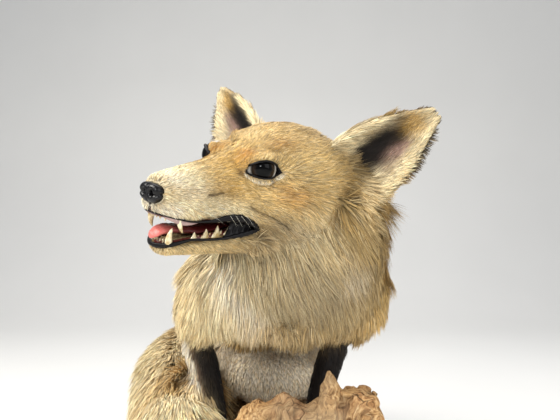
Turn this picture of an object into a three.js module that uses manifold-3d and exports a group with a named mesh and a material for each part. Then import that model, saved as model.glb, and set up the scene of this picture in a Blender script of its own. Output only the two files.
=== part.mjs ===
// Mounted red fox, life size, sitting on a driftwood root with its head turned to its right.
// Millimetres, +Z up. The fox faces -Y, its right side is -X. The origin is on the floor,
// under the middle of the driftwood. The surfaces are those of the coat, out to its tips.

import * as THREE from "three";
import { mergeVertices } from "three/addons/utils/BufferGeometryUtils.js";
import Module from "manifold-3d";

const wasm = await Module();
wasm.setup();

// ---------------------------------------------------------------- driving dimensions

const GAP = 0.4; // clearance between pieces that touch
const HIND_SEAT_Z = 110; // level of the driftwood's top under the hind feet
const FORE_SEAT_Z = 72; // and under the forepaws

const HEAD_AT = [-21.6, -198.4, 357.1]; // point midway between the eyes
const HEAD_TURN = 34.5; // degrees to the fox's right
const HEAD_PITCH = 3.7; // degrees, nose down
const HEAD_ROLL = 16.2; // degrees, left side down

const EYE_AT = [-1, 23.5, -1.5]; // left eyeball's centre, head frame
const EYE_R = 11.5;
const MOUTH_CORNER = [-2, 0, -46.5]; // where the lower lip's line starts, head frame
const GAPE = 10.5; // degrees between the upper and the lower lip
const EAR_LENGTH = 86; // from inside the head to the tip
const EAR_THICK = 5;

const HIND_X = -1; // middle of the hindquarters
const FOREPAW_X = { right: -43, left: 38 };

// ---------------------------------------------------------------- colours

const COAT = { color: 0xc9a56b, roughness: 0.9, metalness: 0 };
const PALE_COAT = { color: 0xd9cdb0, roughness: 0.9, metalness: 0 };
const DARK_COAT = { color: 0x2a201a, roughness: 0.9, metalness: 0 };
const NOSE_SKIN = { color: 0x141416, roughness: 0.35, metalness: 0 };
const GLASS = { color: 0x0d0b0a, roughness: 0.05, metalness: 0 };
const TOOTH = { color: 0xd8cba0, roughness: 0.35, metalness: 0 };
const TONGUE = { color: 0xc4605c, roughness: 0.4, metalness: 0 };
const DRIFTWOOD = { color: 0xb98f62, roughness: 0.85, metalness: 0 };

// ---------------------------------------------------------------- solids

const Z = new THREE.Vector3(0, 0, 1);
const FRONT_BACK = new THREE.Vector3(0, 1, 0); // "up" across pieces that stand upright
const DEG = Math.PI / 180;

// A closed geometry as a manifold-3d solid.
function solidOf(geometry) {
  const bare = geometry.clone();
  for (const name of ["normal", "uv"]) bare.deleteAttribute(name);
  const merged = mergeVertices(bare, 1e-4);
  return new wasm.Manifold(
    new wasm.Mesh({
      numProp: 3,
      vertProperties: new Float32Array(merged.attributes.position.array),
      triVerts: new Uint32Array(merged.index.array),
    }),
  );
}

function geometryOf(solid) {
  const cut = solid.getMesh();
  return new THREE.BufferGeometry()
    .setAttribute("position", new THREE.BufferAttribute(cut.vertProperties, 3))
    .setIndex(new THREE.BufferAttribute(cut.triVerts, 1));
}

// The one largest body of a cut solid: slivers that a cut leaves loose are dropped.
function largest(solid) {
  return solid.decompose().sort((a, b) => b.volume() - a.volume())[0];
}

function join(solids) {
  return solids.reduce((whole, one) => whole.add(one));
}

function cut(solid, cutters) {
  return largest(cutters.reduce((rest, one) => rest.subtract(one), solid));
}

// Rows of numbers read as a smooth curve: t runs from 0 to 1 over the rows.
function rowAt(rows, t) {
  const place = Math.min(Math.max(t, 0), 1) * (rows.length - 1);
  const i = Math.min(Math.floor(place), rows.length - 2);
  const s = place - i;
  const [a, b] = [rows[i], rows[i + 1]];
  const before = rows[Math.max(i - 1, 0)];
  const after = rows[Math.min(i + 2, rows.length - 1)];
  return b.map(
    (_, k) =>
      a[k] +
      0.5 *
        s *
        (b[k] -
          before[k] +
          s *
            (2 * before[k] - 5 * a[k] + 4 * b[k] - after[k] +
              s * (3 * (a[k] - b[k]) + after[k] - before[k]))),
  );
}

// The side faces of a skin over rings of points, all with the same count.
function sideFaces(rings) {
  const sides = rings[0].length;
  const faces = [];
  for (let r = 0; r < rings.length - 1; r++)
    for (let i = 0; i < sides; i++) {
      const [p, q, j] = [r * sides, (r + 1) * sides, (i + 1) % sides];
      faces.push(p + i, p + j, q + i, p + j, q + j, q + i);
    }
  return faces;
}

// A closed skin over rings, with a pole at each end.
function skinOver(rings) {
  const sides = rings[0].length;
  const middle = (ring) =>
    ring
      .reduce((sum, p) => sum.add(p), new THREE.Vector3())
      .divideScalar(ring.length);
  const points = [...rings.flat(), middle(rings[0]), middle(rings.at(-1))];
  const last = (rings.length - 1) * sides;
  const faces = sideFaces(rings);
  for (let i = 0; i < sides; i++) {
    const j = (i + 1) % sides;
    faces.push(points.length - 2, j, i, points.length - 1, last + i, last + j);
  }
  return new THREE.BufferGeometry().setFromPoints(points).setIndex(faces);
}

// A closed shell over rings that run out over its inner face and back over its outer one.
function shellOver(rings) {
  const sides = rings[0].length;
  const last = (rings.length - 1) * sides;
  const faces = sideFaces(rings);
  for (let i = 0; i < sides / 2 - 1; i++) {
    const [near, far] = [sides - 1 - i, sides - 2 - i];
    faces.push(i + 1, i, near, i + 1, near, far);
    faces.push(last + i, last + i + 1, last + near);
    faces.push(last + i + 1, last + far, last + near);
  }
  return new THREE.BufferGeometry().setFromPoints(rings.flat()).setIndex(faces);
}

const rounded = (v, power) => Math.sign(v) * Math.abs(v) ** (2 / power);

// A limb or body part through stations [x, y, z, half width, reach up, reach down].
// up is the direction that counts as up across the spine.
function limb(stations, { sides = 12, rings = 8, up = Z, grow = 0, power = 2 } = {}) {
  const made = [];
  for (let r = 0; r < rings; r++) {
    const t = r / (rings - 1);
    const here = rowAt(stations, t);
    const ahead = new THREE.Vector3(...rowAt(stations, t + 0.01));
    const along = ahead.sub(new THREE.Vector3(...rowAt(stations, t - 0.01))).normalize();
    const rise = up.clone().addScaledVector(along, -up.dot(along)).normalize();
    const across = rise.clone().cross(along);
    const ring = [];
    for (let i = 0; i < sides; i++) {
      const angle = (i / sides) * 2 * Math.PI;
      const [c, s] = [Math.cos(angle), Math.sin(angle)];
      const tall = s > 0 ? here[4] : here[5];
      ring.push(
        new THREE.Vector3(here[0], here[1], here[2])
          .addScaledVector(across, (here[3] + grow) * rounded(c, power))
          .addScaledVector(rise, (tall + grow) * rounded(s, power)),
      );
    }
    made.push(ring);
  }
  if (grow) {
    const step = (a, b) => b.clone().sub(a).normalize().multiplyScalar(grow);
    const tip = (ring) => ring[0].clone().add(ring[sides >> 1]).multiplyScalar(0.5);
    const start = step(tip(made[1]), tip(made[0]));
    const end = step(tip(made.at(-2)), tip(made.at(-1)));
    made[0].forEach((p) => p.add(start));
    made.at(-1).forEach((p) => p.add(end));
  }
  return solidOf(skinOver(made));
}

function ball([x, y, z], [rx, ry, rz], around = 16, down = 10) {
  const g = new THREE.SphereGeometry(1, around, down).rotateX(Math.PI / 2);
  return solidOf(g.scale(rx, ry, rz).translate(x, y, z));
}

function block([x0, y0, z0], [x1, y1, z1]) {
  const g = new THREE.BoxGeometry(x1 - x0, y1 - y0, z1 - z0);
  return solidOf(g.translate((x0 + x1) / 2, (y0 + y1) / 2, (z0 + z1) / 2));
}

// A pointed piece, such as a tooth or a claw, from its root to its tip. thin narrows it in y.
function spike(root, tip, radius, sides = 6, thin = 1) {
  const [a, b] = [new THREE.Vector3(...root), new THREE.Vector3(...tip)];
  const g = new THREE.ConeGeometry(radius, a.distanceTo(b), sides);
  g.translate(0, a.distanceTo(b) / 2, 0);
  const turn = new THREE.Quaternion().setFromUnitVectors(
    new THREE.Vector3(0, 1, 0),
    b.clone().sub(a).normalize(),
  );
  return solidOf(g.applyQuaternion(turn).scale(1, thin, 1).translate(a.x, a.y, a.z));
}

// ---------------------------------------------------------------- head, in its own frame
// x runs forward to the nose, y to the fox's left, z up. The origin is between the eyes.

// x, half width, top, bottom, level of the widest point
const HEAD_STATIONS = [
  [77, 6.5, -18, -36.5, -28],
  [74, 11, -15.5, -39, -28],
  [66, 15, -12, -41.5, -29],
  [54, 17.5, -8, -42.5, -30],
  [42, 20, -4.5, -42, -28],
  [30, 23, -0.5, -42, -27],
  [18, 27.5, 6, -42.5, -25],
  [6, 34, 14, -45, -23],
  [-8, 42, 23, -54, -20],
  [-24, 50, 31, -64, -18],
  [-42, 57, 37, -71, -16],
  [-60, 61, 40, -74, -14],
  [-78, 60, 38, -72, -12],
  [-92, 50, 31, -62, -12],
  [-102, 30, 16, -42, -13],
];

// Forms that stand out of the head or sink into it, on both sides: place, radius, height.
const HEAD_FORMS = [
  { at: [2, 34, -1], radius: 11, height: -2.5 }, // eye socket
  { at: [-2, 26, 13], radius: 11, height: 3 }, // brow
  { at: [-16, 42, -15], radius: 16, height: 3 }, // cheekbone
  { at: [60, 15, -35], radius: 13, height: 2 }, // whisker pad
  { at: [14, 0, 8], radius: 13, height: -1.5 }, // stop
  { at: [18, 26, -16], radius: 10, height: -2 }, // hollow under the eye
];

// The muzzle is flat where it meets the mouth: below for the head, above for the jaw.
function headRing(row, sides, mouthBelow) {
  const [x, halfWidth, top, bottom, widest] = row;
  const ring = [];
  const square = 2 + 2.2 * THREE.MathUtils.smoothstep(x, -12, 22);
  for (let i = 0; i < sides; i++) {
    const angle = (i / sides) * 2 * Math.PI;
    const [c, s] = [Math.cos(angle), Math.sin(angle)];
    const tall = s > 0 ? top - widest : widest - bottom;
    const power = s < 0 === mouthBelow ? square : 2;
    const [across, up] = [rounded(c, power), rounded(s, power)];
    const p = new THREE.Vector3(x, -halfWidth * across, widest + tall * up);
    const out = new THREE.Vector3(0, -c, s);
    for (const { at, radius, height } of HEAD_FORMS)
      for (const side of at[1] ? [1, -1] : [1]) {
        const far = p.distanceTo(new THREE.Vector3(at[0], side * at[1], at[2]));
        p.addScaledVector(out, height * Math.exp(-((far / radius) ** 2)));
      }
    ring.push(p);
  }
  return ring;
}

// grow pushes the skin out, for a cutter that leaves the clearance.
function headLoft(stations, rings, { sides = 20, mouthBelow = true, grow = 0 } = {}) {
  const made = [];
  for (let r = 0; r < rings; r++) {
    const [x, half, top, bottom, widest] = rowAt(stations, r / (rings - 1));
    const end = r === 0 ? grow : r === rings - 1 ? -grow : 0;
    const row = [x + end, half + grow, top + grow, bottom - grow, widest];
    made.push(headRing(row, sides, mouthBelow));
  }
  return solidOf(skinOver(made));
}

// The lower jaw's own frame starts at the mouth corner and slopes down by the gape.
// x along the jaw, half width, top, bottom
const JAW_STATIONS = [
  [70, 5, -2.5, -7, -4.5],
  [67, 9.5, -0.5, -10, -4.5],
  [54, 13.5, 0, -13.5, -5],
  [38, 16, 0, -17.5, -6],
  [20, 21, -0.5, -21.5, -7],
  [4, 27, -1, -26, -8],
  [-16, 31, 2, -28, -9],
  [-30, 26, 0, -24, -10],
];

const JAW_LOFT = { sides: 12, mouthBelow: false };
const JAW_FRAME = new THREE.Matrix4()
  .makeTranslation(...MOUTH_CORNER)
  .multiply(new THREE.Matrix4().makeRotationY(GAPE * DEG));

function moved(solid, matrix) {
  return solidOf(geometryOf(solid).applyMatrix4(matrix));
}

// A flat plate with the outline of a dental arch: straight sides and a round front.
function archPlate(rear, front, rearHalf, frontHalf, bottom, top) {
  const outline = new THREE.Shape();
  outline.moveTo(rear, -rearHalf);
  outline.lineTo(front - frontHalf, -frontHalf);
  outline.absarc(front - frontHalf, 0, frontHalf, -Math.PI / 2, Math.PI / 2);
  outline.lineTo(rear, rearHalf);
  const plate = new THREE.ExtrudeGeometry(outline, {
    depth: top - bottom,
    bevelEnabled: false,
    curveSegments: 4,
  });
  return solidOf(plate.translate(0, 0, bottom));
}

// Teeth of one jaw: canines, incisors and cheek teeth. way is -1 for the upper jaw's.
function teeth({ root, canine, cheek, way }) {
  const made = [];
  for (const side of [1, -1]) {
    const [x, y, length] = canine;
    const tip = [x - 3, side * (y + 0.5), root + way * length];
    made.push(spike([x, side * y, root], tip, 2.8, 5));
    for (const out of [1.4, 4.6]) {
      const at = [x + 6 - out * 0.4, side * out];
      made.push(spike([...at, root], [...at, root + way * 4], 1.7, 4));
    }
    for (const [at, out, tall] of cheek)
      made.push(
        spike([at, side * out, root], [at - 0.5, side * out, root + way * tall], 3.6, 4, 0.6),
      );
  }
  return made;
}

function mouthPieces() {
  const upperPlate = archPlate(0, 72, 18, 11, -41, -37.5);
  const upperTeeth = teeth({
    root: -40,
    canine: [62, 11.5, 11.5],
    cheek: [
      [48, 13, 5],
      [38, 14.5, 6],
      [27, 16.3, 7],
      [15, 17.5, 7],
    ],
    way: -1,
  });
  const lowerPlate = archPlate(4, 66, 17, 8.5, -4.5, -0.6);
  const lowerTeeth = teeth({
    root: -1.6,
    canine: [60, 7.1, 13],
    cheek: [
      [46, 9.8, 5],
      [37, 11.6, 6.5],
      [27, 13.5, 7.5],
      [16, 15.4, 8],
    ],
    way: 1,
  });
  const tongue = limb(
    [
      [8, 0, 2.8, 9, 2.6, 2.7],
      [22, 0, 2.8, 10.5, 3.6, 2.7],
      [40, 0, 2.8, 9, 3.4, 2.7],
      [56, 0, 4, 5, 3, 3],
      [66, 0, 7, 5, 2.3, 2.3],
      [73, 0, 7.6, 3, 1.4, 1.4],
    ],
    { sides: 8, rings: 7 },
  );
  return {
    upper: join([upperPlate, ...upperTeeth]),
    lower: join([lowerPlate, ...lowerTeeth]),
    tongue,
    upperSeat: archPlate(-1, 73.5, 21.8, 15.1, -60, -37.5 + GAP),
    lowerSeat: archPlate(3, 67.5, 20.3, 10.8, -4.5 - GAP, 20),
  };
}

// One ear as a curved shell. u runs over its width from the front edge to the rear edge,
// v from the base to the tip. Both ears are given as left ones, and the right is mirrored.
const EAR = {
  left: { root: [-68, 55, 1], tip: [-87, 110, 64], faces: [0.91, 0.4, -0.05] },
  right: { root: [-65, 54, 4], tip: [-84, 113, 60], faces: [0.96, 0.2, 0] },
};
// half width, depth of the cup
const EAR_STATIONS = [
  [26, 24],
  [27, 21],
  [26, 17.5],
  [23, 13],
  [17, 8],
  [10, 4.5],
  [3, 2.5],
];

function ear(side, grow = 0) {
  const root = new THREE.Vector3(...EAR[side].root);
  const along = new THREE.Vector3(...EAR[side].tip).sub(root).normalize();
  const faces = new THREE.Vector3(...EAR[side].faces);
  faces.addScaledVector(along, -faces.dot(along)).normalize();
  const aside = along.clone().cross(faces);
  const [cols, rows] = [6, 7];
  const place = (u, v, back) => {
    const [halfWidth, depth] = rowAt(EAR_STATIONS, v);
    const wide = halfWidth + (back ? EAR_THICK + grow : 0);
    const end = v === 0 ? -grow : v === 1 ? grow : 0;
    return root
      .clone()
      .addScaledVector(along, EAR_LENGTH * v + end)
      .addScaledVector(aside, wide * u)
      .addScaledVector(faces, grow - depth * (1 - u * u) - (back ? EAR_THICK + 2 * grow : 0));
  };
  const rings = [];
  for (let r = 0; r <= rows; r++) {
    const ring = [];
    for (let c = 0; c <= cols; c++) ring.push(place((2 * c) / cols - 1, r / rows, false));
    for (let c = cols; c >= 0; c--) ring.push(place((2 * c) / cols - 1, r / rows, true));
    rings.push(ring);
  }
  const shell = solidOf(shellOver(rings));
  return side === "left" ? shell : mirrored(shell);
}

function mirrored(solid) {
  const turned = geometryOf(solid).scale(1, -1, 1);
  const order = turned.index.array;
  for (let i = 0; i < order.length; i += 3)
    [order[i + 1], order[i + 2]] = [order[i + 2], order[i + 1]];
  return solidOf(turned);
}

function headPieces() {
  const whole = headLoft(HEAD_STATIONS, 16);
  const grown = headLoft(HEAD_STATIONS, 16, { grow: GAP });
  const mouth = mouthPieces();
  const eyeHole = ball(EYE_AT, [EYE_R + GAP, EYE_R + GAP, EYE_R + GAP], 10, 6);
  const jaw = moved(headLoft(JAW_STATIONS, 8, JAW_LOFT), JAW_FRAME);
  const nose = ball([76.5, 0, -26.5], [6.6, 9.8, 8.2], 12, 6);
  return {
    head: cut(whole, [mouth.upperSeat, eyeHole, mirrored(eyeHole)]),
    grown,
    jaw: cut(jaw, [grown, moved(mouth.lowerSeat, JAW_FRAME)]),
    grownJaw: moved(headLoft(JAW_STATIONS, 8, { ...JAW_LOFT, grow: GAP }), JAW_FRAME),
    upper_teeth: mouth.upper,
    lower_teeth: moved(mouth.lower, JAW_FRAME),
    tongue: moved(mouth.tongue, JAW_FRAME),
    nose: cut(nose, [grown]),
    ear_left: cut(ear("left"), [grown]),
    ear_right: cut(ear("right"), [grown]),
    eye_left: ball(EYE_AT, [EYE_R, EYE_R, EYE_R], 10, 6),
  };
}

// ---------------------------------------------------------------- body

const NECK_STATIONS = [
  [30, -122, 372, 46, 34, 34],
  [27, -126, 352, 68, 50, 50],
  [27, -124, 328, 80, 60, 60],
  [27, -116, 302, 82, 64, 62],
  [22, -107, 276, 84, 60, 62],
  [14, -98, 250, 70, 48, 50],
];

// The trunk from the chest to the rump.
const TRUNK_STATIONS = [
  [14, -152, 256, 44, 36, 36],
  [14, -136, 258, 74, 56, 54],
  [13, -105, 262, 92, 66, 62],
  [12, -60, 266, 94, 72, 62],
  [9, -15, 258, 84, 74, 52],
  [4, 30, 240, 76, 78, 78],
  [-1, 75, 212, 76, 78, 94],
  [-6, 115, 186, 76, 66, 74],
  [-10, 146, 168, 60, 50, 52],
  [-12, 166, 160, 32, 30, 32],
];

const BELLY = { at: [-1, 10, 148], size: [57, 46, 37] };

const UPPER_ARM = {
  right: [
    [-24, -84, 292, 28, 34, 36],
    [-40, -90, 272, 38, 40, 44],
    [-54, -95, 247, 36, 36, 40],
    [-61, -99, 224, 30, 30, 32],
    [-66, -100, 205, 18, 18, 20],
  ],
  left: [
    [52, -80, 300, 46, 40, 42],
    [68, -84, 276, 48, 42, 46],
    [73, -88, 250, 46, 38, 42],
    [69, -91, 226, 38, 32, 34],
    [62, -95, 206, 22, 20, 22],
  ],
};

// x, y, z, half width, reach back and forward
const FOREARM = {
  right: [
    [-68, -97, 214, 16, 17, 16],
    [-66, -98, 198, 16, 16, 15],
    [-57, -101, 165, 15, 15, 14],
    [-48, -106, 125, 13.5, 13.5, 13],
    [-43.5, -111, 83, 13.5, 13, 13],
  ],
  left: [
    [64, -97, 214, 15, 17, 16],
    [60, -98, 198, 14, 16, 15],
    [49, -101, 165, 13, 15, 14],
    [41, -106, 125, 12.5, 13.5, 13],
    [38, -111, 83, 13, 13, 13],
  ],
};

// The palm of a paw whose wrist is at x, y and whose sole is at z.
function palm([x, y, z], width, length, grow = 0) {
  const at = [x, y - length * 0.32, z + 12];
  return ball(at, [width + grow, length * 0.58 + grow, 12 + grow], 8, 5);
}

// A whole paw: the palm, four toes and their claws.
function paw([x, y, z], width, length) {
  const pieces = [palm([x, y, z], width, length)];
  for (const [k, reach] of [[-0.72, 0.84], [-0.26, 1], [0.26, 1], [0.72, 0.84]]) {
    const toe = [x + k * width, y - length * reach + 7, z + 7.5];
    pieces.push(ball(toe, [width * 0.28, 9, 7.4], 5, 3));
    const root = [toe[0], toe[1] - 5, z + 7.5];
    pieces.push(spike(root, [toe[0], toe[1] - 15, z + 3], 2.2, 3));
  }
  return join(pieces);
}

// The room that a paw takes up, for cutting what lies against it.
function pawRoom([x, y, z], width, length) {
  const toes = block(
    [x - width - GAP, y - length - 9, z - GAP],
    [x + width + GAP, y - length * 0.3, z + 15.5],
  );
  return palm([x, y, z], width, length, GAP).add(toes);
}

const FOREPAW = {
  right: [[FOREPAW_X.right, -110, FORE_SEAT_Z], 18, 36],
  left: [[FOREPAW_X.left, -110, FORE_SEAT_Z], 18, 36],
};

function thighStations(side) {
  const row = (x, ...rest) => [HIND_X + side * x, ...rest];
  return [
    row(28, 138, 168, 30, 38, 46),
    row(37, 104, 176, 43, 57, 62),
    row(45, 62, 168, 37, 54, 56),
    row(51, 24, 152, 29, 44, 42),
    row(56, -4, 139, 16, 25, 27),
  ];
}

// The lower hind leg lies along the seat: hock at the back, toes in front.
const HIND_PAW = (side) => [[HIND_X + side * 58, -4, HIND_SEAT_Z], 16.5, 32];

function sole(side, grow = 0) {
  const x = HIND_X + side * 58;
  return limb(
    [
      [x, 84, 127, 9, 10, 12],
      [x, 68, 126, 13, 13, 14.5],
      [x, 36, 124, 13.5, 12, 13],
      [x, 6, 122, 14, 11, 11],
      [x, -12, 120, 14, 10, 9.5],
    ],
    { sides: 8, rings: 4, grow },
  );
}

// The brush, from the rump round the right side to the forepaws.
const TAIL_STATIONS = [
  [-14, 156, 158, 26, 26, 26],
  [-46, 178, 150, 36, 36, 34],
  [-88, 168, 147, 43, 43, 40],
  [-113, 120, 146, 46, 46, 42],
  [-118, 58, 146, 47, 47, 43],
  [-111, 0, 145, 46, 47, 43],
  [-97, -58, 142, 45, 44, 42],
  [-82, -112, 138, 43, 38, 40],
  [-66, -150, 140, 37, 37, 36],
  [-50, -168, 142, 26, 29, 28],
  [-36, -172, 144, 12, 13, 13],
];

// A thin cut straight across a limb at t, wide enough for the brush.
function parting(rows, t) {
  const here = new THREE.Vector3(...rowAt(rows, t));
  const ahead = new THREE.Vector3(...rowAt(rows, t + 0.01));
  const turn = new THREE.Quaternion().setFromUnitVectors(Z, ahead.sub(here).normalize());
  const slab = new THREE.BoxGeometry(130, 130, GAP);
  return solidOf(slab.applyQuaternion(turn).translate(here.x, here.y, here.z));
}

// ---------------------------------------------------------------- driftwood

// The root is a core with a limb on each side that carries the tail and the left flank,
// and stubs of broken roots. Everything below the floor is cut off flat.
const ROOTS = {
  core: [
    [8, -206, 46, 40, 20, 80],
    [10, -180, 44, 84, 24, 80],
    [4, -120, 46, 102, 26, 80],
    [-4, -50, 52, 104, 44, 80],
    [-8, 20, 58, 100, 50, 80],
    [-8, 90, 60, 94, 52, 80],
    [-4, 150, 54, 72, 46, 80],
    [4, 196, 42, 38, 24, 70],
  ],
  right_limb: [
    [-62, -196, 56, 22, 24, 80],
    [-98, -148, 62, 40, 34, 90],
    [-124, -74, 66, 42, 38, 90],
    [-118, 10, 66, 46, 38, 90],
    [-112, 90, 64, 42, 40, 90],
    [-84, 164, 58, 38, 38, 90],
    [-44, 206, 42, 18, 18, 70],
  ],
  left_limb: [
    [60, -182, 54, 34, 40, 80],
    [84, -126, 52, 34, 30, 80],
    [102, -50, 46, 30, 28, 80],
    [96, 26, 50, 36, 36, 80],
    [88, 104, 44, 30, 34, 80],
    [48, 182, 40, 24, 24, 70],
  ],
  left_stub: [
    [92, -14, 44, 24, 20, 60],
    [128, 2, 46, 18, 16, 60],
    [152, 22, 60, 8, 8, 8],
  ],
  rear_stub: [
    [-60, 176, 40, 26, 24, 60],
    [-98, 208, 34, 17, 16, 50],
    [-124, 232, 40, 7, 7, 7],
  ],
};

// Burls along the front edge, higher than the forepaws behind them.
const BURLS = [
  { at: [4, -176, 82], size: [68, 32, 62] },
  { at: [-7, -172, 138], size: [26, 30, 41] },
  { at: [14, -173, 140], size: [24, 28, 45] },
  { at: [36, -168, 130], size: [20, 28, 46] },
];

const SPIRE = [
  [52, -164, 60, 34, 28, 30],
  [52, -166, 120, 27, 24, 26],
  [51, -168, 156, 19, 18, 20],
  [49, -168, 182, 10, 12, 13],
  [48, -167, 196, 4, 5, 5],
];

const STUMP = [
  [76, -164, 60, 24, 28, 28],
  [75, -165, 120, 19, 24, 24],
  [74, -166, 160, 18, 20, 20],
  [73, -166, 181, 15, 14, 15],
];

function driftwood() {
  const roots = Object.values(ROOTS).map((rows) =>
    limb(rows, { sides: 10, rings: rows.length, power: 2.3 }),
  );
  const burls = BURLS.map(({ at, size }) => ball(at, size, 9, 5));
  const spire = limb(SPIRE, { sides: 8, rings: 6, up: FRONT_BACK });
  const stump = limb(STUMP, { sides: 10, rings: 4, up: FRONT_BACK, power: 3.2 });
  const floor = block([-400, -400, -200], [400, 400, 0]);
  const knothole = ball([63, -188, 158], [7, 12, 6], 7, 5);
  return join([...roots, ...burls, spire, stump]).subtract(floor).subtract(knothole);
}

// ---------------------------------------------------------------- the model

const fox = new THREE.Group();
const headGroup = new THREE.Group();
headGroup.position.set(...HEAD_AT);
headGroup.rotation.set(
  -HEAD_ROLL * DEG,
  HEAD_PITCH * DEG,
  (-90 - HEAD_TURN) * DEG,
  "ZYX",
);
headGroup.updateMatrixWorld(true);
fox.add(headGroup);

function place(name, solid, finish, group = fox) {
  const material = new THREE.MeshStandardMaterial({ ...finish, flatShading: true });
  const mesh = new THREE.Mesh(geometryOf(solid), material);
  mesh.name = name;
  group.add(mesh);
}

const SIDES = { right: -1, left: 1 };

const trunk = (grow = 0) =>
  join([
    limb(TRUNK_STATIONS, { sides: 16, rings: 11, grow }),
    ball(BELLY.at, BELLY.size.map((r) => r + grow), 12, 8),
  ]);
const neck = (grow = 0) => limb(NECK_STATIONS, { sides: 14, rings: 7, up: FRONT_BACK, grow });
const arm = (side, grow = 0) =>
  limb(UPPER_ARM[side], { sides: 10, rings: 6, up: FRONT_BACK, grow });
const forearm = (side, grow = 0) =>
  limb(FOREARM[side], { sides: 10, rings: 5, up: FRONT_BACK, grow });
const thigh = (side, grow = 0) => limb(thighStations(side), { sides: 12, rings: 6, grow });
const tail = (grow = 0) => limb(TAIL_STATIONS, { sides: 12, rings: 14, grow });

const inHead = headPieces();
const toRow = headGroup.matrixWorld;
const headCutter = moved(inHead.grown, toRow);
const jawCutter = moved(inHead.grownJaw, toRow);
const earCutters = ["left", "right"].map((side) => moved(ear(side, 5 * GAP), toRow));

place("head", inHead.head, COAT, headGroup);
place("lower_jaw", inHead.jaw, PALE_COAT, headGroup);
place("upper_teeth", inHead.upper_teeth, TOOTH, headGroup);
place("lower_teeth", inHead.lower_teeth, TOOTH, headGroup);
place("tongue", inHead.tongue, TONGUE, headGroup);
place("nose", inHead.nose, NOSE_SKIN, headGroup);
place("ear_left", inHead.ear_left, COAT, headGroup);
place("ear_right", inHead.ear_right, COAT, headGroup);
place("eye_left", inHead.eye_left, GLASS, headGroup);
place("eye_right", mirrored(inHead.eye_left), GLASS, headGroup);

const trunkCutter = trunk(GAP);
place("neck", cut(neck(), [headCutter, jawCutter, trunkCutter, ...earCutters]), PALE_COAT);
place("trunk", cut(trunk(), [headCutter, jawCutter]), COAT);

const pieces = {};
const frontCutters = [trunkCutter, neck(GAP), headCutter];
for (const side of ["right", "left"]) {
  pieces[`upper_foreleg_${side}`] = [cut(arm(side), frontCutters), COAT];
  pieces[`forearm_${side}`] = [cut(forearm(side), [trunkCutter, arm(side, GAP)]), DARK_COAT];
  const forepaw = paw(...FOREPAW[side]);
  pieces[`forepaw_${side}`] = [cut(forepaw, [forearm(side, GAP)]), DARK_COAT];
  const haunch = thigh(SIDES[side]);
  pieces[`thigh_${side}`] = [cut(haunch, [trunkCutter]), COAT];
  const foot = sole(SIDES[side]).add(paw(...HIND_PAW(SIDES[side])));
  pieces[`hind_foot_${side}`] = [cut(foot, [trunkCutter, thigh(SIDES[side], GAP)]), COAT];
}

const feetRoom = (side) => [
  sole(SIDES[side], GAP),
  pawRoom(...HIND_PAW(SIDES[side])),
  pawRoom(...FOREPAW[side]),
  forearm(side, GAP),
];
const besideTail = [
  trunkCutter,
  arm("right", GAP),
  thigh(SIDES.right, GAP),
  ...feetRoom("right"),
];
const middleY = (solid) => {
  const { min, max } = solid.boundingBox();
  return min[1] + max[1];
};
const brush = cut(tail(), besideTail)
  .subtract(parting(TAIL_STATIONS, 0.33))
  .subtract(parting(TAIL_STATIONS, 0.67))
  .decompose()
  .sort((a, b) => b.volume() - a.volume())
  .slice(0, 3)
  .sort((a, b) => middleY(b) - middleY(a));
pieces.tail_base = [brush[0], COAT];
pieces.tail_middle = [brush[1], COAT];
pieces.tail_tip = [brush[2], PALE_COAT];

for (const [name, [solid, finish]] of Object.entries(pieces)) place(name, solid, finish);

const onTheWood = [
  trunkCutter,
  ...["right", "left"].flatMap((side) => [thigh(SIDES[side], GAP), ...feetRoom(side)]),
  tail(GAP),
];
place("driftwood", cut(driftwood(), onTheWood), DRIFTWOOD);

export default fox;
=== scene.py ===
"""Mounted red fox on a driftwood root: skin, coat, eyes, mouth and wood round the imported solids.

Metres, +Z up. The fox faces -Y and its right side is -X. The face is shaped in the head's own
frame, in millimetres: x runs forward to the nose, y to the fox's left, z up.
"""

import math
from types import SimpleNamespace

import bmesh
import bpy
import numpy as np
from mathutils import Matrix, Vector, noise
from mathutils.bvhtree import BVHTree
from mathutils.kdtree import KDTree


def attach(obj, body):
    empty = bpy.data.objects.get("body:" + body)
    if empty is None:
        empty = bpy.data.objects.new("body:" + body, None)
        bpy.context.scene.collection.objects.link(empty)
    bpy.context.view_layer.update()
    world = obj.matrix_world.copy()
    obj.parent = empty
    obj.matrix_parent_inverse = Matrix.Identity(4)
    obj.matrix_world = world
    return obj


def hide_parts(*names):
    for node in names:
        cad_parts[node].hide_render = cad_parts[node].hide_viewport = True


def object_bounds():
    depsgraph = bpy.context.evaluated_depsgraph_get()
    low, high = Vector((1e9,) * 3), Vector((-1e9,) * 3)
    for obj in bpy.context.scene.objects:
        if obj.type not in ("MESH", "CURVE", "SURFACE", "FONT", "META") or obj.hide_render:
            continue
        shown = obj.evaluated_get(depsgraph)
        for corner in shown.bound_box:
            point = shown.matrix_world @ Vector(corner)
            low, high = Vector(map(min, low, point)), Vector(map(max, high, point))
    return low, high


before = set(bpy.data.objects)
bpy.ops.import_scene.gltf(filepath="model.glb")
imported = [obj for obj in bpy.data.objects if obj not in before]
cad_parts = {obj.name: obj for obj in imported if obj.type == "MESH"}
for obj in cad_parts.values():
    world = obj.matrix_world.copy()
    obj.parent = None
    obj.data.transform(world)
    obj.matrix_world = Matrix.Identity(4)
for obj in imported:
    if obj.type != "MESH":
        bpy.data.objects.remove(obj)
CAD_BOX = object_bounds()

# ---------------------------------------------------------------- sizes

MM = 0.001

HEAD_AT = np.array([-21.6, -198.4, 357.1])  # point midway between the eyes, mm
HEAD_TURN = math.radians(-124.5)
HEAD_PITCH = math.radians(3.7)
HEAD_ROLL = math.radians(-16.2)
GAPE = math.radians(10.5)  # between the upper and the lower lip
JAW_AT = np.array([-2.0, 0.0, -46.5])  # the jaw's hinge line, head frame

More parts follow.
